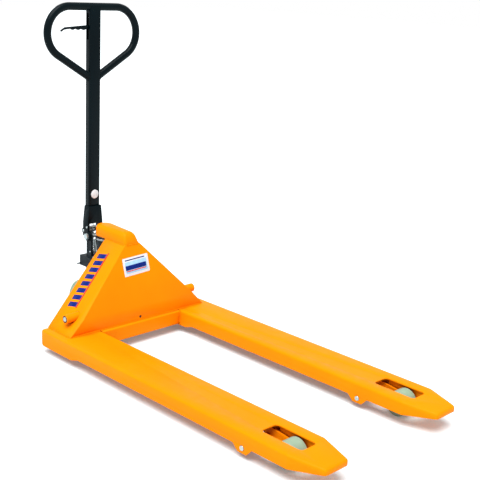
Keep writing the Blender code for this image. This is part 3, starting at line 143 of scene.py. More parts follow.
# Wheels, as (radius, depth below the face) from the bore outward, and their bearings
ROLLER_RELIEF = ((0.0105, 0.0), (0.0150, 0.0), (0.0155, 0.0012), (0.0230, 0.0012), (0.0235, 0.0),
                 (0.0270, 0.0), (0.0285, 0.0020), (0.0345, 0.0020), (0.0360, 0.0))
ROLLER_CORNER = 0.0030
WHEEL_RELIEF = ((0.0205, 0.0), (0.0365, 0.0), (0.0380, 0.0008), (0.0430, 0.0085), (0.0450, 0.0095),
                (0.0720, 0.0095), (0.0740, 0.0085), (0.0790, 0.0008), (0.0805, 0.0), (0.0930, 0.0),
                (0.0965, 0.0012), (0.0990, 0.0035))
WHEEL_CORNER = 0.0065
BEARING_BORE = 0.0105
SEAL_INNER = 0.0132
SEAL_OUTER = 0.0176
SEAL_SLOPE = 0.0002
SEAL_DEPTH = 0.0008
AXLE_GROOVE = 0.0028
CLIP_BORE = 0.0103
CLIP_EAR = 0.0012
CLIP_START = -68.0           # degrees, from +X towards +Z
CLIP_SWEEP = 316.0
CLIP_STEPS = 56

# Pump
CYLINDER_BORE = 0.0161
THRUST_BORE = 0.0256
PLUNGER_SHANK = 0.0090       # radius
PLUNGER_HEAD_Z = 0.340       # underside of the head, on the spring

# Bolt through the pump's lugs, with its washer and nut
BOLT_SHANK = 0.0080          # radius
BOLT_HEAD = 0.0070           # height, with the washer
HEAD_CORNER = 0.0124         # radius across the corners, and of the washer
NUT_CORNER = 0.0125
NUT_COLLAR = 0.0015          # height

# Ball chain
CHAIN_BALLS = 8
CHAIN_BALL = 0.0021          # radius
CHAIN_WIRE = 0.0006

# Stickers
STRIPE_BARS = 8
STRIPE_HALF = 0.021          # half width of a bar
STRIPE_SLANT = 0.004         # rise from one end of a bar to the other
STRIPE_LINE_GAP = 0.004      # from the bars to the middle of the line beside them
STRIPE_SHARE = 0.66          # of the pitch that a bar fills
STRIPE_LINE = 0.0030         # half width of that line
STRIPE_FOOT = (0.1150, 0.158)    # behind the beam's face, and height
STRIPE_HEAD = (0.1458, 0.326)
RATING_PLACE = (0.0045, 0.2870)  # across, and height
RATING_TILT = math.radians(2.4)
DISC_RADIUS = 0.0170
DISC_Z = 0.5076
FILM_THICK = 0.00025
FILM_GAP = 0.0001

# Return spring
SPRING_WIRE = 0.0015         # radius of the wire
SPRING_MEAN = 0.0116         # radius of the coil
SPRING_TURNS = 9
SPRING_STEPS = 40            # in each turn
SPRING_SIDES = 12

SIDES = ((-1.0, "right"), (1.0, "left"))
AXES = {
    "X": (Vector((1, 0, 0)), Vector((0, 1, 0)), Vector((0, 0, 1))),
    "Y": (Vector((0, 1, 0)), Vector((0, 0, 1)), Vector((1, 0, 0))),
    "Z": (Vector((0, 0, 1)), Vector((1, 0, 0)), Vector((0, 1, 0))),
}
BODY_OF = {node: body for body, nodes in frame["record"]["behaviour"]["bodies"].items() for node in nodes}


# ---------------------------------------------------------------- materials
class Nodes:
    """A small builder of shader nodes."""

    def __init__(self, name):
        self.material = bpy.data.materials.new(name)
        self.material.use_nodes = True
        self.tree = self.material.node_tree
        self.shader = self.tree.nodes["Principled BSDF"]
        self.place = self.add("ShaderNodeTexCoord").outputs["Object"]

    def add(self, kind, **values):
        node = self.tree.nodes.new(kind)
        for key, value in values.items():
            setattr(node, key, value)
        return node

    def link(self, output, socket):
        self.tree.links.new(output, socket)

    def stretched(self, scale):
        """The object's own coordinates, stretched by three factors."""
        mapping = self.add("ShaderNodeMapping")
        mapping.inputs["Scale"].default_value = scale
        self.link(self.place, mapping.inputs["Vector"])
        return mapping.outputs["Vector"]

    def noise(self, scale, detail=3.0, rough=0.5, stretch=None):
        node = self.add("ShaderNodeTexNoise")
        node.inputs["Scale"].default_value = scale
        node.inputs["Detail"].default_value = detail
        node.inputs["Roughness"].default_value = rough
        self.link(self.stretched(stretch) if stretch else self.place, node.inputs["Vector"])
        return node.outputs["Fac"]

    def ranged(self, value, low, high, to_low, to_high):
        """A value moved from one range to another, held at its ends."""
        node = self.add("ShaderNodeMapRange")
        for key, number in (("From Min", low), ("From Max", high), ("To Min", to_low), ("To Max", to_high)):
            node.inputs[key].default_value = number
        self.link(value, node.inputs["Value"])
        return node.outputs["Result"]

    def maths(self, operation, first, second):
        node = self.add("ShaderNodeMath", operation=operation)
        for socket, value in zip(node.inputs, (first, second)):
            if isinstance(value, float):
                socket.default_value = value
            else:
                self.link(value, socket)
        return node.outputs["Value"]

    def mixed(self, factor, first, second):
        """Two colours mixed by a factor."""
        node = self.add("ShaderNodeMix", data_type="RGBA")
        self.link(factor, node.inputs["Factor"])
        for socket, value in ((node.inputs[6], first), (node.inputs[7], second)):
            if isinstance(value, tuple):
                socket.default_value = (*value, 1.0)
            else:
                self.link(value, socket)
        return node.outputs[2]

    def edges(self, radius):
        """Nearly 1 on sharp outer edges and 0 elsewhere."""
        bevel = self.add("ShaderNodeBevel", samples=4)
        bevel.inputs["Radius"].default_value = radius
        plain = self.add("ShaderNodeNewGeometry")
        dot = self.add("ShaderNodeVectorMath", operation="DOT_PRODUCT")
        self.link(bevel.outputs["Normal"], dot.inputs[0])
        self.link(plain.outputs["Normal"], dot.inputs[1])
        return self.ranged(dot.outputs["Value"], 0.995, 0.90, 0.0, 1.0)

    def raised(self, height, strength, distance, under=None):
        """A bump from a height."""
        node = self.add("ShaderNodeBump")
        node.inputs["Strength"].default_value = strength
        node.inputs["Distance"].default_value = distance
        self.link(height, node.inputs["Height"])
        if under is not None:
            self.link(under, node.inputs["Normal"])
        return node.outputs["Normal"]

    def finish(self, colour, roughness, normal, **fixed):
        self.link(colour, self.shader.inputs["Base Color"])
        self.link(roughness, self.shader.inputs["Roughness"])
        self.link(normal, self.shader.inputs["Normal"])
        for key, value in fixed.items():
            self.shader.inputs[key.replace("_", " ")].default_value = value
        return self.material


def paint_coat(name, base, deep, worn, inner, roughness, peel, **fixed):
    """Sprayed paint: faint patches, orange peel, painted shade in hollows and thin wear on the edges."""
    nodes = Nodes(name)
    patches = nodes.ranged(nodes.noise(7.0, 2.0), 0.35, 0.65, 0.0, 1.0)
    colour = nodes.mixed(patches, base, deep)
    # painted shade: the inner colour darkens the hollows that ambient occlusion finds, standing in for
    # shade inside the forks and nose
    painted_shade_ao = nodes.add("ShaderNodeAmbientOcclusion", samples=6)
    painted_shade_ao.inputs["Distance"].default_value = 0.05
    colour = nodes.mixed(nodes.ranged(painted_shade_ao.outputs["AO"], 0.14, 0.60, 0.0, 1.0), inner, colour)
    chips = nodes.ranged(nodes.noise(160.0, 4.0, 0.65), 0.52, 0.60, 0.0, 1.0)
    wear = nodes.maths("MULTIPLY", nodes.edges(0.0012), nodes.maths("MULTIPLY", chips, 0.55))
    colour = nodes.mixed(wear, colour, worn)
    smears = nodes.ranged(nodes.noise(24.0, 4.0, 0.6), 0.35, 0.70, roughness - 0.05, roughness + 0.09)
    fine = nodes.raised(nodes.noise(420.0, 2.0), peel, 0.0006)
    normal = nodes.raised(nodes.noise(55.0, 1.0), peel * 0.6, 0.0012, fine)
    return nodes.finish(colour, smears, normal, **fixed)


def cast_coat(name, base, deep, roughness):
    """Rough sand casting under thin black paint."""
    nodes = Nodes(name)
    colour = nodes.mixed(nodes.ranged(nodes.noise(30.0, 3.0), 0.3, 0.7, 0.0, 1.0), base, deep)
    rubbed = nodes.maths("MULTIPLY", nodes.edges(0.0015), 0.4)
    colour = nodes.mixed(rubbed, colour, (0.10, 0.10, 0.10))
    dull = nodes.ranged(nodes.noise(90.0, 4.0, 0.7), 0.3, 0.7, roughness - 0.08, roughness + 0.12)
    grains = nodes.raised(nodes.noise(520.0, 5.0, 0.7), 0.45, 0.0010)
    normal = nodes.raised(nodes.noise(110.0, 3.0), 0.30, 0.0020, grains)
    return nodes.finish(colour, dull, normal, Specular_IOR_Level=0.15)


def metal(name, base, deep, roughness, stretch, **fixed):
    """Plated or ground metal: cloudy tint and fine lines in one direction."""
    nodes = Nodes(name)
    colour = nodes.mixed(nodes.ranged(nodes.noise(60.0, 3.0), 0.3, 0.7, 0.0, 1.0), base, deep)
    lines = nodes.noise(300.0, 3.0, 0.6, stretch)
    dull = nodes.ranged(lines, 0.3, 0.7, roughness - 0.06, roughness + 0.10)
    normal = nodes.raised(lines, 0.10, 0.0003)
    return nodes.finish(colour, dull, normal, Metallic=1.0, **fixed)


def nylon_coat(name):
    """Pale grey-green cast nylon with a rolled, slightly dirty tread."""
    nodes = Nodes(name)
    clouds = nodes.ranged(nodes.noise(38.0, 3.0), 0.3, 0.7, 0.0, 1.0)
    colour = nodes.mixed(clouds, (0.29, 0.40, 0.28), (0.25, 0.35, 0.24))
    specks = nodes.ranged(nodes.noise(260.0, 4.0, 0.7), 0.60, 0.72, 0.0, 0.45)
    colour = nodes.mixed(specks, colour, (0.20, 0.22, 0.17))
    rubbed = nodes.maths("MULTIPLY", nodes.edges(0.002), 0.35)
    colour = nodes.mixed(rubbed, colour, (0.26, 0.29, 0.22))
    dull = nodes.ranged(nodes.noise(80.0, 4.0, 0.6), 0.3, 0.7, 0.36, 0.56)
    lines = nodes.noise(200.0, 3.0, 0.6, (1.0, 9.0, 1.0))
    return nodes.finish(colour, dull, nodes.raised(lines, 0.15, 0.0005))


def printed(name, base, deep):
    """Glossy printed film."""
    nodes = Nodes(name)
    colour = nodes.mixed(nodes.ranged(nodes.noise(90.0, 3.0), 0.35, 0.65, 0.0, 1.0), base, deep)
    dull = nodes.ranged(nodes.noise(40.0, 3.0), 0.3, 0.7, 0.24, 0.36)
    normal = nodes.raised(nodes.noise(150.0, 2.0), 0.08, 0.0004)
    return nodes.finish(colour, dull, normal, Specular_IOR_Level=0.10)


# each paint's fourth colour is painted shade, laid into its hollows by ambient occlusion
PAINTS = {
    "orange_paint": paint_coat("fine_orange_paint", (1.0, 0.272, 0.0010), (0.985, 0.258, 0.0010),
                               (0.62, 0.20, 0.02), (0.30, 0.012, 0.001), 0.36, 0.05,
                               Specular_IOR_Level=0.03),
    "black_paint": paint_coat("fine_black_paint", (0.0006, 0.0055, 0.0080), (0.0004, 0.0040, 0.0060),
                              (0.03, 0.04, 0.045), (0.0006, 0.0030, 0.0050), 0.30, 0.07,
                              Specular_IOR_Level=0.08),
    "black_casting": cast_coat("fine_black_casting", (0.004, 0.008, 0.011), (0.008, 0.013, 0.016), 0.50),
    "zinc_plate": metal("fine_zinc_plate", (0.50, 0.56, 0.56), (0.40, 0.46, 0.47), 0.32,
                        (1.0, 1.0, 1.0)),
    "ground_steel": metal("fine_ground_steel", (0.30, 0.31, 0.32), (0.22, 0.23, 0.24), 0.24,
                          (1.0, 1.0, 8.0)),
    "spring_steel": metal("fine_spring_steel", (0.07, 0.08, 0.085), (0.04, 0.05, 0.055), 0.34,
                          (1.0, 1.0, 1.0)),
    "nylon": nylon_coat("fine_nylon"),
}
LABEL_WHITE = printed("label_white", (0.80, 0.81, 0.83), (0.74, 0.75, 0.77))
LABEL_BLUE = printed("label_blue", (0.002, 0.018, 0.200), (0.002, 0.013, 0.160))
LABEL_SKY = printed("label_sky", (0.42, 0.66, 0.90), (0.36, 0.60, 0.84))
LABEL_RED = printed("label_red", (0.78, 0.045, 0.012), (0.68, 0.035, 0.010))
BLACK_RUBBER = cast_coat("black_rubber", (0.010, 0.010, 0.011), (0.016, 0.016, 0.016), 0.62)


# ---------------------------------------------------------------- pieces
def add_piece(name, body, ride_on, slot=None, material=None, stands_for=(), sharp=35.0):
    """Turn a bmesh in row coordinates into a piece that rides on a body."""
    bmesh.ops.recalc_face_normals(body, faces=body.faces)
    mesh = bpy.data.meshes.new(name)
    body.to_mesh(mesh)
    body.free()
    mesh.materials.append(material or PAINTS[slot])
    mesh.shade_smooth()
    mesh.set_sharp_from_angle(angle=math.radians(sharp))
    item = bpy.data.objects.new(name, mesh)
    bpy.context.scene.collection.objects.link(item)
    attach(item, ride_on)
    if stands_for:
        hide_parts(*stands_for)
    return item


def slot_of(node):
    """The record's slot that a node is painted with."""
    return frame["nodes"][node].data.materials[0].name.split(".")[0]


def refined(node, width, segments=2):
    """The node's own solid with its hard edges rounded."""
    body = bmesh.new()
    body.from_mesh(frame["nodes"][node].data)
    bmesh.ops.remove_doubles(body, verts=body.verts, dist=SAME_PLACE)
    bmesh.ops.dissolve_limit(body, angle_limit=SAME_PLANE, verts=body.verts, edges=body.edges)
    bmesh.ops.recalc_face_normals(body, faces=body.faces)
    mesh = bpy.data.meshes.new(node + "_skin")
    body.to_mesh(mesh)
    body.free()
    mesh.materials.clear()
    mesh.materials.append(PAINTS[slot_of(node)])
    mesh.shade_smooth()
    item = bpy.data.objects.new(node + "_skin", mesh)
    bpy.context.scene.collection.objects.link(item)
    bevel = item.modifiers.new("edge", "BEVEL")
    bevel.width = width
    bevel.segments = segments
    bevel.limit_method = "ANGLE"
    bevel.angle_limit = HARD_EDGE
    bevel.use_clamp_overlap = False
    bevel.harden_normals = True
    bevel.miter_outer = "MITER_ARC"
    graph = bpy.context.evaluated_depsgraph_get()
    fine = bpy.data.meshes.new_from_object(item.evaluated_get(graph))
    item.modifiers.clear()
    item.data = fine
    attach(item, BODY_OF[node])
    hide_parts(node)
    return item


def ring(body, centre, first, second, radius, sides):
    """Points on a circle, turning from the first direction towards the second."""
    angles = [2.0 * math.pi * number / sides for number in range(sides)]
    return [body.verts.new(centre + (first * math.cos(a) + second * math.sin(a)) * radius) for a in angles]


def bridged(body, rows):
    """Close the skin between neighbouring rings and over both ends."""
    count = len(rows[0])
    for lower, upper in zip(rows, rows[1:]):
        for index in range(count):
            other = (index + 1) % count
            body.faces.new((lower[index], lower[other], upper[other], upper[index]))
    body.faces.new(rows[0][::-1])
    body.faces.new(rows[-1])
    return body


def lathe(profile, centre, axis, segments=64):
    """Turn (radius, along) points about an axis."""
    along, first, second = AXES[axis]
    middle = Vector(centre)
    body = bmesh.new()
    rows = []
    for radius, place in profile:
        spot = middle + along * place
        if radius <= 0:
            rows.append([body.verts.new(spot)])
        else:
            rows.append(ring(body, spot, first, second, radius, segments))
    pairs = list(zip(rows, rows[1:]))
    if profile[0][0] > 0:
        pairs.append((rows[-1], rows[0]))
    for lower, upper in pairs:
        for index in range(segments):
            other = (index + 1) % segments
            corners = []
            for row, order in ((lower, (index, other)), (upper, (other, index))):
                corners += [row[0]] if len(row) == 1 else [row[number] for number in order]
            body.faces.new(corners)
    return body


def softened(profile, radius):
    """A turned profile with its corners rounded; points on the axis stay."""
    steps = 3
    closed = profile[0][0] > 0
    result = []
    for index, corner in enumerate(profile):
        inner = closed or 0 < index < len(profile) - 1
        if not inner:
            result.append(corner)
            continue
        here = Vector(corner)
        before = Vector(profile[index - 1]) - here
        after = Vector(profile[(index + 1) % len(profile)]) - here
        turn = math.pi - before.angle(after)
        if turn < math.radians(12.0):
            result.append(corner)
            continue
        reach = min(radius, before.length * 0.45, after.length * 0.45)
        start, end = here + before.normalized() * reach, here + after.normalized() * reach
        for step in range(steps + 1):
            share = step / steps
            point = start.lerp(here, share).lerp(here.lerp(end, share), share)
            result.append((point.x, point.y))
    return result


def measured(node, axis):
    """Centre line, radius and two ends of a turned node, from its box."""
    low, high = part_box(node)
    index = "XYZ".index(axis)
    others = [number for number in range(3) if number != index]
    centre = (low + high) / 2.0
    radius = (high[others[0]] - low[others[0]]) / 2.0
    start, end = low[index], high[index]
    centre[index] = 0.0
    return centre, radius, start, end


def turned(node, axis, profile, segments=64, radius=0.0006):
    """A piece turned about a node's own axis; profile takes (radius, start, end) of the node."""
    centre, size, start, end = measured(node, axis)
    body = lathe(softened(profile(size, start, end), radius), centre, axis, segments)
    slot = slot_of(node)
    return add_piece(node + "_turned", body, BODY_OF[node], slot, stands_for=(node,), sharp=50.0)


def pin(node, axis, groove=0.0, dimple=True):
    """A turned pin with broken edges, centre marks and, if asked, a groove near each end."""
    def profile(size, start, end):
        chamfer = min(PIN_CHAMFER, size * 0.2)
        points = [(size - chamfer, start), (size, start + chamfer)]
        if groove:
            for low in (start + groove, end - groove - GROOVE_WIDTH):
                high = low + GROOVE_WIDTH
                points += [(size, low), (size - GROOVE_DEPTH, low), (size - GROOVE_DEPTH, high),
                           (size, high)]
        points += [(size, end - chamfer), (size - chamfer, end)]
        if not dimple:
            return [(0.0, start)] + points + [(0.0, end)]
        mark = min(PIN_MARK, size * 0.3)
        return [(0.0, start + mark * 0.7), (mark, start)] + points + [(mark, end), (0.0, end - mark * 0.7)]
    return turned(node, axis, profile, 48, 0.0003)


def moulded(node, relief, corner, seam, segments, radius):
    """A wheel with the same relief in both faces and a moulding seam round its middle.

    The seam is a groove: half its width, and its depth.
    """
    def profile(size, start, end):
        middle = (start + end) / 2.0
        half, depth = seam
        line = [(size, middle - half), (size - depth, middle), (size, middle + half)]
        faces = [*relief(size), (size, corner)]
        near = [(reach, start + inset) for reach, inset in faces]
        far = [(reach, end - inset) for reach, inset in reversed(faces)]
        return near + line + far
    return turned(node, "Y", profile, segments, radius)


def bearing(size, start, end):
    """Outline of a bearing, with a seal set back between its two races."""
    inner, outer = SEAL_INNER + SEAL_SLOPE, SEAL_OUTER - SEAL_SLOPE
    return [(BEARING_BORE, start), (SEAL_INNER, start), (inner, start + SEAL_DEPTH),
            (outer, start + SEAL_DEPTH), (SEAL_OUTER, start), (size, start), (size, end),
            (SEAL_OUTER, end), (outer, end - SEAL_DEPTH), (inner, end - SEAL_DEPTH), (SEAL_INNER, end),
            (BEARING_BORE, end)]


def neighbours(points, index):
    """The points before and after one in a line; at an end, the point itself stands in."""
    return points[max(index - 1, 0)], points[min(index + 1, len(points) - 1)]


def swept(path, radius, across, sides):
    """A round bar along a path that lies square to one direction."""
    points = [Vector(point) for point in path]
    body = bmesh.new()
    rows = []
    for index, point in enumerate(points):
        before, after = neighbours(points, index)
        outward = across.cross((after - before).normalized()).normalized()
        rows.append(ring(body, point, across, outward, radius, sides))
    return bridged(body, rows)


def weld_path(name, points, radius, ride_on, slot):
    """A painted weld bead along straight runs between points, with fine ripples and thin ends."""
    run = []
    for first, second in zip(points, points[1:]):
        start, end = Vector(first), Vector(second)
        steps = max(2, round((end - start).length / (WELD_RIPPLE / 4.0)))
        run += [start.lerp(end, step / steps) for step in range(steps)]
    run.append(Vector(points[-1]))
    body = bmesh.new()
    rows = []
    travelled = 0.0
    for index, point in enumerate(run):
        before, after = neighbours(run, index)
        along = (after - before).normalized()
        travelled += (point - before).length
        helper = Vector((0, 0, 1)) if abs(along.z) < 0.8 else Vector((1, 0, 0))
        first = along.cross(helper).normalized()
        second = along.cross(first)
        near_end = min(index, len(run) - 1 - index)
        size = radius * (1.0 + WELD_WAVE * math.cos(2.0 * math.pi * travelled / WELD_RIPPLE))
        size *= min(1.0, 0.25 + near_end * 0.25)
        rows.append(ring(body, point, first, second, size, WELD_SIDES))
    return add_piece(name, bridged(body, rows), ride_on, slot, sharp=80.0)


# ---------------------------------------------------------------- frame
def plate_x(z):
    """Front face of the sloping plate at a height."""
    return BEAM_X - PLATE_SETBACK - PLATE_LEAN * max(0.0, z - PLATE_BEND_Z)


def plate_half(z):
    """Half width of the nose frame at a height."""
    return PLATE_HALF_BASE - PLATE_SLOPE * (z - PLATE_FOOT)


def make_frame_body():
    """Forks, roller frames, nose, beam and cap with rounded edges, and a rubber drain plug."""
    for _, word in SIDES:
        refined(f"fork_{word}", SHEET_EDGE)
        refined(f"roller_frame_{word}", BAR_EDGE)
    refined("nose_frame", SHEET_EDGE)
    spot = (plate_x(PLATE_FOOT), 0.0, PLATE_FOOT + DRAIN_RISE)
    body = lathe(softened(DRAIN_OUTLINE, 0.0004), spot, "X", 32)
    add_piece("drain_plug", body, "frame", material=BLACK_RUBBER)
    refined("cross_beam", SHEET_EDGE)
    refined("ram_cap", SHEET_EDGE)


def make_frame_welds():
    """Beads round the nose's foot, down the beam's ends, along the plate and under the cap."""
    foot = PLATE_FOOT + WELD_LIFT
    front = plate_x(foot)
    beam = BEAM_X - WELD_LIFT
    for side, word in SIDES:
        half = side * (plate_half(foot) + WELD_LIFT)
        path = [(BEAM_X - FLANGE_WELD_REAR, half, foot), (front - BEND_RADIUS, half, foot),
                (front - BEND_CUT, side * (plate_half(foot) - BEND_CUT), foot),
                (front, side * (plate_half(foot) - BEND_RADIUS), foot), (front, side * FORK_INNER, foot)]
        weld_path(f"flange_weld_{word}", path, FLANGE_WELD, "frame", "orange_paint")
        path = [(beam, side * FORK_INNER, z) for z in BEAM_WELD_Z]
        weld_path(f"beam_weld_{word}", path, PLATE_WELD, "frame", "orange_paint")
    path = [(front, side * FORK_INNER, foot - 0.0004) for side, _ in SIDES]
    weld_path("plate_weld", path, PLATE_WELD, "frame", "orange_paint")
    head = plate_x(NOSE_BASE_Z)
    half = plate_half(NOSE_BASE_Z)
    near = [(BEAM_X - CAP_WELD_REAR, half), (head - CAP_BEND, half), (head - CAP_CUT, half - CAP_CUT),
            (head, half - CAP_BEND)]
    path = [(x, -y, NOSE_BASE_Z) for x, y in near] + [(x, y, NOSE_BASE_Z) for x, y in reversed(near)]
    weld_path("cap_weld", path, CAP_WELD, "frame", "orange_paint")


def make_rocker_set():
    """Rocker, bosses, push rods and their pins."""
    for side, word in SIDES:
        turned(f"rocker_boss_{word}", "Y", lambda size, start, end: [
            (BOSS_BORE, start), (size - BOSS_CHAMFER, start), (size, start + BOSS_CHAMFER),
            (size, end - BOSS_CHAMFER), (size - BOSS_CHAMFER, end), (BOSS_BORE, end)], radius=0.0008)
        pin(f"rocker_pin_{word}", "Y", 0.0045)
        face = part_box(f"rocker_boss_{word}")[0 if side < 0 else 1].y
        centre, size, _, _ = measured(f"rocker_pin_{word}", "Y")
        inner, outer = size + RING_GAP, size + RING_GAP + RING_WIDTH
        inside, outside = face - side * GROOVE_WIDTH / 2.0, face + side * GROOVE_WIDTH / 2.0
        outline = [(inner, inside), (outer, inside), (outer, outside), (inner, outside)]
        add_piece(f"rocker_pin_clip_{word}", lathe(softened(outline, 0.0002), centre, "Y"), "frame",
                  material=BLACK_RUBBER)
        refined(f"push_rod_{word}", BAR_EDGE)
        for node in ("push_rod_pin", "roller_pivot_shaft", "roller_axle", "roller_rod_pin"):
            pin(f"{node}_{word}", "Y")
    refined("rocker", BAR_EDGE)
    pin("rocker_cross_pin", "Y", 0.002)


def make_load_rollers():
    """Nylon rollers with a moulded rim, a recessed web and a sealed bearing in each face."""
    for _, word in SIDES:
        moulded(f"load_roller_{word}", lambda size: [*ROLLER_RELIEF, (size - ROLLER_CORNER, 0.0)],
                ROLLER_CORNER, (0.0006, 0.0003), 96, 0.0005)


# ---------------------------------------------------------------- steering unit
def make_wheels():
    """Steering wheels with a hub, a deep web and a rim, bearings, axle and clips."""
    pin("steering_axle", "Y", AXLE_GROOVE)
    for _, word in SIDES:
        moulded(f"steering_wheel_{word}", lambda size: WHEEL_RELIEF, WHEEL_CORNER, (0.0008, 0.0004),
                128, 0.0008)
        for place in ("outer", "inner"):
            turned(f"wheel_bearing_{place}_{word}", "Y", bearing, 64, 0.0002)
        make_clip(f"axle_clip_{word}")


def make_clip(node):
    """An open retaining ring that widens into two ears."""
    low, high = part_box(node)
    centre = (low + high) / 2.0
    outer = (high.z - low.z) / 2.0
    body = bmesh.new()
    rows = []
    for step in range(CLIP_STEPS + 1):
        share = step / CLIP_STEPS
        angle = math.radians(CLIP_START + CLIP_SWEEP * share)
        ear = max(0.0, 1.0 - 9.0 * min(share, 1.0 - share))
        reach = outer - CLIP_EAR + CLIP_EAR * ear
        spoke = Vector((math.cos(angle), 0.0, math.sin(angle)))
        corners = ((CLIP_BORE, low.y), (reach, low.y), (reach, high.y), (CLIP_BORE, high.y))
        rows.append([body.verts.new(Vector((centre.x, y, centre.z)) + spoke * radius)
                     for radius, y in corners])
    add_piece(node + "_ring", bridged(body, rows), BODY_OF[node], slot_of(node), stands_for=(node,))


def make_pump():
    """Cast pump body, cylinder, ram, bearing and the plunger with its spring."""
    refined("pump_housing", CAST_EDGE, segments=3)
    refined("bearing_bracket", SHEET_EDGE)
    turned("thrust_bearing", "Z", lambda size, start, end: [
        (THRUST_BORE, start), (size, start), (size, start + 0.0028), (size - 0.0012, start + 0.0032),
        (size - 0.0012, end - 0.0032), (size, end - 0.0028), (size, end), (THRUST_BORE, end)], 72, 0.0003)
    turned("lift_cylinder", "Z", lambda size, start, end: [
        (CYLINDER_BORE, start), (size, start), (size, start + 0.006), (size - 0.0010, start + 0.0075),
        (size - 0.0010, end - 0.011), (size, end - 0.0095), (size, end), (CYLINDER_BORE, end)], 72, 0.0006)
    turned("cylinder_gland", "Z", lambda size, start, end: [
        (CYLINDER_BORE, start), (size, start), (size, end - 0.0022), (size - 0.0018, end - 0.0005),
        (0.0215, end - 0.0005), (0.0205, end - 0.0018), (0.0185, end - 0.0018), (0.0175, end),
        (CYLINDER_BORE, end)], 72, 0.0003)
    turned("lift_ram", "Z", lambda size, start, end: [
        (0.0, start), (size - 0.003, start), (size, start + 0.003), (size, end - 0.003),
        (size - 0.003, end), (0.0, end)], 72)
    turned("plunger", "Z", lambda size, start, end: [
        (0.0, start), (PLUNGER_SHANK - 0.0005, start), (PLUNGER_SHANK, start + 0.0005),
        (PLUNGER_SHANK, PLUNGER_HEAD_Z), (size, PLUNGER_HEAD_Z), (size, end - 0.0015),
        (size - 0.0015, end), (0.0, end)], 64, 0.0004)
    make_spring()
    turned("filler_plug", "Z", lambda size, start, end: [
        (0.0, start), (size, start), (size, end), (0.0, end)], 48)
    refined("release_lever", THIN_EDGE)
    pin("release_pin", "Y")
    pin("release_valve", "Z", dimple=False)


def make_spring():
    """The plunger's return spring in fine wire, on a mesh of its own, riding on the spring's body."""
    low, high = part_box("plunger_spring")
    count = SPRING_TURNS * SPRING_STEPS
    bottom, rise = low.z + SPRING_WIRE, high.z - low.z - 2.0 * SPRING_WIRE
    body = bmesh.new()
    rows = []
    centre = (low + high) / 2.0
    for index in range(count + 1):
        angle = 2.0 * math.pi * index / SPRING_STEPS
        spoke = Vector((math.cos(angle), math.sin(angle), 0.0))
        point = Vector((centre.x, centre.y, bottom + rise * index / count)) + spoke * SPRING_MEAN
        rows.append(ring(body, point, spoke, Vector((0, 0, 1)), SPRING_WIRE, SPRING_SIDES))
    item = add_piece("plunger_spring_wire", bridged(body, rows), BODY_OF["plunger_spring"],
                     "spring_steel", stands_for=("plunger_spring",))
    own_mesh(item)


# ---------------------------------------------------------------- tiller
def arc(centre, radius, start, end, steps):
    """Points along an arc, both ends included, angles in degrees."""
    points = []
    for step in range(steps + 1):
        angle = math.radians(start + (end - start) * step / steps)
        points.append((centre[0] + radius * math.cos(angle), centre[1] + radius * math.sin(angle)))
    return points


def loop_path():
    """Middle line of the hand loop's left half, from its foot to the middle of the top."""
    shoulder = LOOP_REACH - LOOP_SHOULDER
    shoulder_z = LOOP_TOP_Z - LOOP_SHOULDER
    cheek = LOOP_REACH - LOOP_CHEEK
    turn = 90.0 - math.degrees(LOOP_LEG_SLOPE)
    lower = arc((cheek, shoulder_z), LOOP_CHEEK, -turn, 0.0, 24)
    upper = arc((shoulder, shoulder_z), LOOP_SHOULDER, 0.0, 90.0, 30)
    start = lower[0]
    foot_y = TUBE_HALF_Y - 0.004
    foot_z = start[1] - (start[0] - foot_y) * math.tan(LOOP_LEG_SLOPE)
    return [(foot_y, foot_z)] + lower + upper[1:]


def make_tiller():
    """Tube, hand loop, yoke, lever and their pins."""
    half = [(TUBE_X, y, z) for y, z in loop_path()]
    path = [(x, -y, z) for x, y, z in half] + half[::-1]
    body = swept(path, LOOP_RADIUS, Vector((1, 0, 0)), 40)
    add_piece("tiller_loop_bar", body, "tiller", "black_paint", stands_for=("tiller_loop",), sharp=60.0)
    refined("tiller_tube", BAR_EDGE)
    refined("tiller_yoke", CAST_EDGE, segments=3)
    refined("finger_lever", LEVER_EDGE, segments=4)
    make_tiller_welds()
    for node, axis in (("tube_fixing_pin", "Y"), ("press_roller_pin", "Y"), ("chain_guide_pin", "Y"),
                       ("lever_pivot_pin", "X"), ("lever_stop_pin", "X")):
        pin(node, axis)
    turned("press_roller", "Y", lambda size, start, end: [
        (0.0055, start), (size - 0.001, start), (size, start + 0.001), (size, end - 0.001),
        (size - 0.001, end), (0.0055, end)])
    pin("pull_rod", "Z", dimple=False)
    make_chain()
    make_pivot_bolt()


def make_tiller_welds():
    """Beads round the loop's two feet and under its top bar, on the tube's sides."""
    foot_y, foot_z = loop_path()[0]
    middle = foot_z + (TUBE_HALF_Y - foot_y) * math.tan(LOOP_LEG_SLOPE)
    top = LOOP_TOP_Z - LOOP_RADIUS * 0.75
    wide, high = LOOP_RADIUS * 0.97, LOOP_RADIUS * 1.02 / math.cos(LOOP_LEG_SLOPE)
    for side, word in SIDES:
        across = side * TUBE_HALF_Y
        turns = [2.0 * math.pi * number / 24 for number in range(25)]
        path = [(TUBE_X + wide * math.cos(a), across, middle + high * math.sin(a)) for a in turns]
        weld_path(f"loop_weld_{word}", path, LOOP_WELD, "tiller", "black_paint")
        path = [(TUBE_X + x, across, top + z) for x, z in BAR_WELD_PATH]
        weld_path(f"bar_weld_{word}", path, BAR_WELD, "tiller", "black_paint")


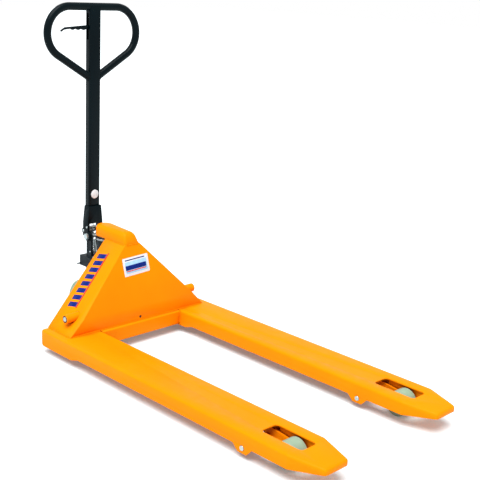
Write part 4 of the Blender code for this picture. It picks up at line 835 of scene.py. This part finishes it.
def make_chain():
    """Ball chain from the pull rod's foot down to the pivot."""
    centre, _, start, end = measured("release_chain", "Z")
    pitch = (end - start) / CHAIN_BALLS
    profile = [(0.0, start)]
    for number in range(CHAIN_BALLS):
        middle = start + pitch * (number + 0.5)
        for step in range(1, 8):
            angle = math.pi * step / 8.0
            profile.append((CHAIN_BALL * math.sin(angle), middle - pitch * 0.42 * math.cos(angle)))
        if number < CHAIN_BALLS - 1:
            profile.append((CHAIN_WIRE, start + pitch * (number + 1)))
    profile.append((0.0, end))
    body = lathe(profile, centre, "Z", 20)
    add_piece("release_chain_balls", body, BODY_OF["release_chain"], "zinc_plate",
              stands_for=("release_chain",), sharp=70.0)


def hexagon(radius, low, high, centre, axis, crown):
    """A hexagonal head across its corners, with a turned crown."""
    along, first, second = AXES[axis]
    body = bmesh.new()
    rows = []
    steps = 72
    top = abs(high - low)
    direction = 1.0 if high > low else -1.0
    for share, limit in ((0.0, radius), (top - crown, radius), (top - crown * 0.35, radius * 0.945),
                         (top, radius * 0.86)):
        row = []
        for number in range(steps):
            angle = 2.0 * math.pi * number / steps
            wrapped = (angle + math.pi / 6.0) % (math.pi / 3.0) - math.pi / 6.0
            flat = radius * math.cos(math.pi / 6.0) / math.cos(wrapped)
            reach = min(flat, limit)
            spoke = first * math.cos(angle) + second * math.sin(angle)
            row.append(body.verts.new(Vector(centre) + spoke * reach + along * (low + direction * share)))
        rows.append(row)
    return bridged(body, rows)


def joined(first, second):
    """One bmesh from two."""
    mesh = bpy.data.meshes.new("spare")
    second.to_mesh(mesh)
    second.free()
    first.from_mesh(mesh)
    bpy.data.meshes.remove(mesh)
    return first


def make_pivot_bolt():
    """Hexagon bolt through the pump's lugs, with its washer, and a nut with a locking ring."""
    low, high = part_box("tiller_pivot_bolt")
    centre = (low + high) / 2.0
    axis = Vector((centre.x, 0.0, centre.z))
    seat = low.y + BOLT_HEAD
    shank = [(0.0, seat - 0.0012), (BOLT_SHANK, seat - 0.0012), (BOLT_SHANK, high.y - 0.001),
             (BOLT_SHANK - 0.001, high.y), (0.0, high.y)]
    bore = BOLT_SHANK - 0.0001
    washer = [(bore, seat - 0.0018), (HEAD_CORNER, seat - 0.0018), (HEAD_CORNER, seat - 0.0002),
              (bore, seat - 0.0002)]
    body = lathe(softened(shank, 0.0003), axis, "Y")
    body = joined(body, lathe(softened(washer, 0.0003), axis, "Y"))
    body = joined(body, hexagon(HEAD_CORNER, seat - 0.0016, low.y, axis, "Y", 0.0012))
    add_piece("tiller_pivot_hexbolt", body, BODY_OF["tiller_pivot_bolt"], "zinc_plate",
              stands_for=("tiller_pivot_bolt",), sharp=25.0)
    low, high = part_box("tiller_pivot_nut")
    body = hexagon(NUT_CORNER, low.y, high.y - NUT_COLLAR, axis, "Y", 0.0010)
    collar = [(0.0081, high.y - 0.0018), (0.0100, high.y - 0.0018), (0.0094, high.y), (0.0081, high.y)]
    body = joined(body, lathe(softened(collar, 0.0003), axis, "Y"))
    add_piece("tiller_pivot_locknut", body, BODY_OF["tiller_pivot_nut"], "zinc_plate",
              stands_for=("tiller_pivot_nut",), sharp=25.0)


# ---------------------------------------------------------------- plain stickers, with no words or signs
def film(name, outline, origin, across, up, lift, material, ride_on):
    """A thin film cut to an outline, on a surface given by two directions."""
    first, second = Vector(across).normalized(), Vector(up)
    second = (second - first * second.dot(first)).normalized()
    outward = first.cross(second)
    middle = Vector((sum(p[0] for p in outline), sum(p[1] for p in outline))) / len(outline)
    body = bmesh.new()
    rows = []
    for height, pull in ((0.0, 1.0), (FILM_THICK * 0.7, 1.0), (FILM_THICK, 0.996)):
        row = []
        for u, v in outline:
            spot = middle + (Vector((u, v)) - middle) * pull
            row.append(body.verts.new(Vector(origin) + first * spot.x + second * spot.y
                                      + outward * (lift + height)))
        rows.append(row)
    return add_piece(name, bridged(body, rows), ride_on, material=material, sharp=60.0)


def rounded_box(low, high, radius):
    """A rectangle with rounded corners."""
    points = []
    for cx, cy, start in ((high[0], high[1], 0.0), (low[0], high[1], 90.0), (low[0], low[1], 180.0),
                          (high[0], low[1], 270.0)):
        mx = cx - radius if cx == high[0] else cx + radius
        my = cy - radius if cy == high[1] else cy + radius
        points += arc((mx, my), radius, start, start + 90.0, 5)
    return points


def make_rating_plate():
    """A pale plate with blank bars on the sloping plate."""
    side, z = RATING_PLACE
    origin = Vector((plate_x(z), side, z))
    across = Vector((-PLATE_LEAN * math.sin(RATING_TILT), math.cos(RATING_TILT), math.sin(RATING_TILT)))
    up = Vector((-PLATE_LEAN, 0.0, 1.0)).normalized()
    layers = (
        ("rating_plate", (-0.0590, -0.0335), (0.0590, 0.0335), 0.0035, 0.0000, LABEL_WHITE),
        ("rating_field", (-0.0500, -0.0240), (0.0500, 0.0190), 0.0020, 0.0003, LABEL_SKY),
        ("rating_bar_blue", (-0.0500, -0.0120), (0.0460, 0.0050), 0.0016, 0.0006, LABEL_BLUE),
        ("rating_bar_red", (-0.0470, -0.0175), (0.0440, -0.0140), 0.0010, 0.0006, LABEL_RED),
        ("rating_bar_top", (-0.0480, 0.0228), (0.0430, 0.0268), 0.0010, 0.0003, LABEL_BLUE),
    )
    for name, low, high, radius, lift, material in layers:
        outline = rounded_box(low, high, radius)
        film(name, outline, origin, across, up, lift + FILM_GAP, material, "frame")


def make_stripes():
    """Slanted blue bars beside a red line, on each flange."""
    for side, word in SIDES:
        foot, head = (Vector((BEAM_X - back, side * plate_half(z), z))
                      for back, z in (STRIPE_FOOT, STRIPE_HEAD))
        up = head - foot
        across = Vector((-side, 0.0, 0.0))
        across = (across - up.normalized() * across.dot(up.normalized())).normalized()
        pitch = up.length / STRIPE_BARS
        tall = pitch * STRIPE_SHARE
        for number in range(STRIPE_BARS):
            base = pitch * number
            slab = [(-STRIPE_HALF, base), (STRIPE_HALF, base + STRIPE_SLANT),
                    (STRIPE_HALF, base + tall + STRIPE_SLANT), (-STRIPE_HALF, base + tall)]
            film(f"stripe_bar_{word}_{number}", slab, foot, across, up, FILM_GAP, LABEL_BLUE, "frame")
        edge = -side * (STRIPE_HALF + STRIPE_LINE_GAP)
        outline = rounded_box((edge - STRIPE_LINE, 0.0), (edge + STRIPE_LINE, up.length), 0.0008)
        film(f"stripe_line_{word}", outline, foot, across, up, FILM_GAP, LABEL_RED, "frame")


def make_tube_disc():
    """A plain pale disc on the tiller tube."""
    disc = arc((0.0, 0.0), DISC_RADIUS, 0.0, 360.0, 48)[:-1]
    face = (TUBE_X + TUBE_HALF_X, 0.0, DISC_Z)
    film("tube_disc", disc, face, (0, 1, 0), (0, 0, 1), FILM_GAP, LABEL_WHITE, "tiller")


# ---------------------------------------------------------------- stage, light and camera
def make_stage():
    """White floor and surroundings; the floor keeps the object's soft shadow."""
    body = bmesh.new()
    signs = ((-1, -1), (1, -1), (1, 1), (-1, 1))
    body.faces.new([body.verts.new((x * FLOOR_HALF, y * FLOOR_HALF, 0.0)) for x, y in signs])
    mesh = bpy.data.meshes.new("floor")
    body.to_mesh(mesh)
    body.free()
    floor = bpy.data.objects.new("floor", mesh)
    bpy.context.scene.collection.objects.link(floor)
    material = bpy.data.materials.new("studio_floor")
    material.use_nodes = True
    tree = material.node_tree
    tree.nodes.clear()
    output = tree.nodes.new("ShaderNodeOutputMaterial")
    diffuse = tree.nodes.new("ShaderNodeBsdfDiffuse")
    diffuse.inputs["Color"].default_value = (*FLOOR_COLOUR, 1.0)
    glow = tree.nodes.new("ShaderNodeEmission")
    glow.inputs["Color"].default_value = (1.0, 1.0, 1.0, 1.0)
    seen = seen_rays(tree)
    share = tree.nodes.new("ShaderNodeMath")
    share.operation = "MULTIPLY"
    share.inputs[1].default_value = FLOOR_GLOW
    tree.links.new(seen, share.inputs[0])
    tree.links.new(share.outputs["Value"], glow.inputs["Strength"])
    both = tree.nodes.new("ShaderNodeAddShader")
    tree.links.new(diffuse.outputs["BSDF"], both.inputs[0])
    tree.links.new(glow.outputs["Emission"], both.inputs[1])
    tree.links.new(both.outputs["Shader"], output.inputs["Surface"])
    mesh.materials.append(material)


def seen_rays(tree):
    """1 for rays of the camera, of gloss and through glass."""
    path = tree.nodes.new("ShaderNodeLightPath")
    total = path.outputs["Is Camera Ray"]
    for name in ("Is Glossy Ray", "Is Transmission Ray"):
        largest = tree.nodes.new("ShaderNodeMath")
        largest.operation = "MAXIMUM"
        tree.links.new(total, largest.inputs[0])
        tree.links.new(path.outputs[name], largest.inputs[1])
        total = largest.outputs["Value"]
    return total


def make_light():
    """An even white room and one broad soft key from above."""
    world = bpy.data.worlds.new("studio")
    bpy.context.scene.world = world
    world.use_nodes = True
    tree = world.node_tree
    background = tree.nodes["Background"]
    background.inputs["Color"].default_value = (1.0, 1.0, 1.0, 1.0)
    level = tree.nodes.new("ShaderNodeMapRange")
    level.inputs["To Min"].default_value = WORLD_LEVEL
    level.inputs["To Max"].default_value = 1.0
    tree.links.new(seen_rays(tree), level.inputs["Value"])
    tree.links.new(level.outputs["Result"], background.inputs["Strength"])
    lamp = bpy.data.lights.new("key", "SUN")
    lamp.energy = KEY_LEVEL
    lamp.angle = KEY_ANGLE
    key = bpy.data.objects.new("key", lamp)
    key.rotation_euler = KEY_TILT
    bpy.context.scene.collection.objects.link(key)


def make_camera():
    """The camera of the photograph."""
    yaw, pitch, roll = CAMERA_YAW, CAMERA_PITCH, CAMERA_ROLL
    forward = Vector((math.cos(pitch) * math.cos(yaw), math.cos(pitch) * math.sin(yaw), math.sin(pitch)))
    level = forward.cross(Vector((0, 0, 1))).normalized()
    upright = level.cross(forward)
    right = level * math.cos(roll) + upright * math.sin(roll)
    up = upright * math.cos(roll) - level * math.sin(roll)
    data = bpy.data.cameras.new("camera")
    data.lens = LENS
    data.sensor_width = SENSOR
    camera = bpy.data.objects.new("camera", data)
    turn = Matrix((right, up, -forward)).transposed().to_4x4()
    camera.matrix_world = Matrix.Translation(CAMERA_AT) @ turn
    bpy.context.scene.collection.objects.link(camera)
    bpy.context.scene.camera = camera


make_camera()
make_light()
make_stage()
make_frame_body()
make_frame_welds()
make_rocker_set()
make_load_rollers()
make_wheels()
make_pump()
make_tiller()
make_rating_plate()
make_stripes()
make_tube_disc()
bpy.context.scene.view_settings.view_transform = "Standard"
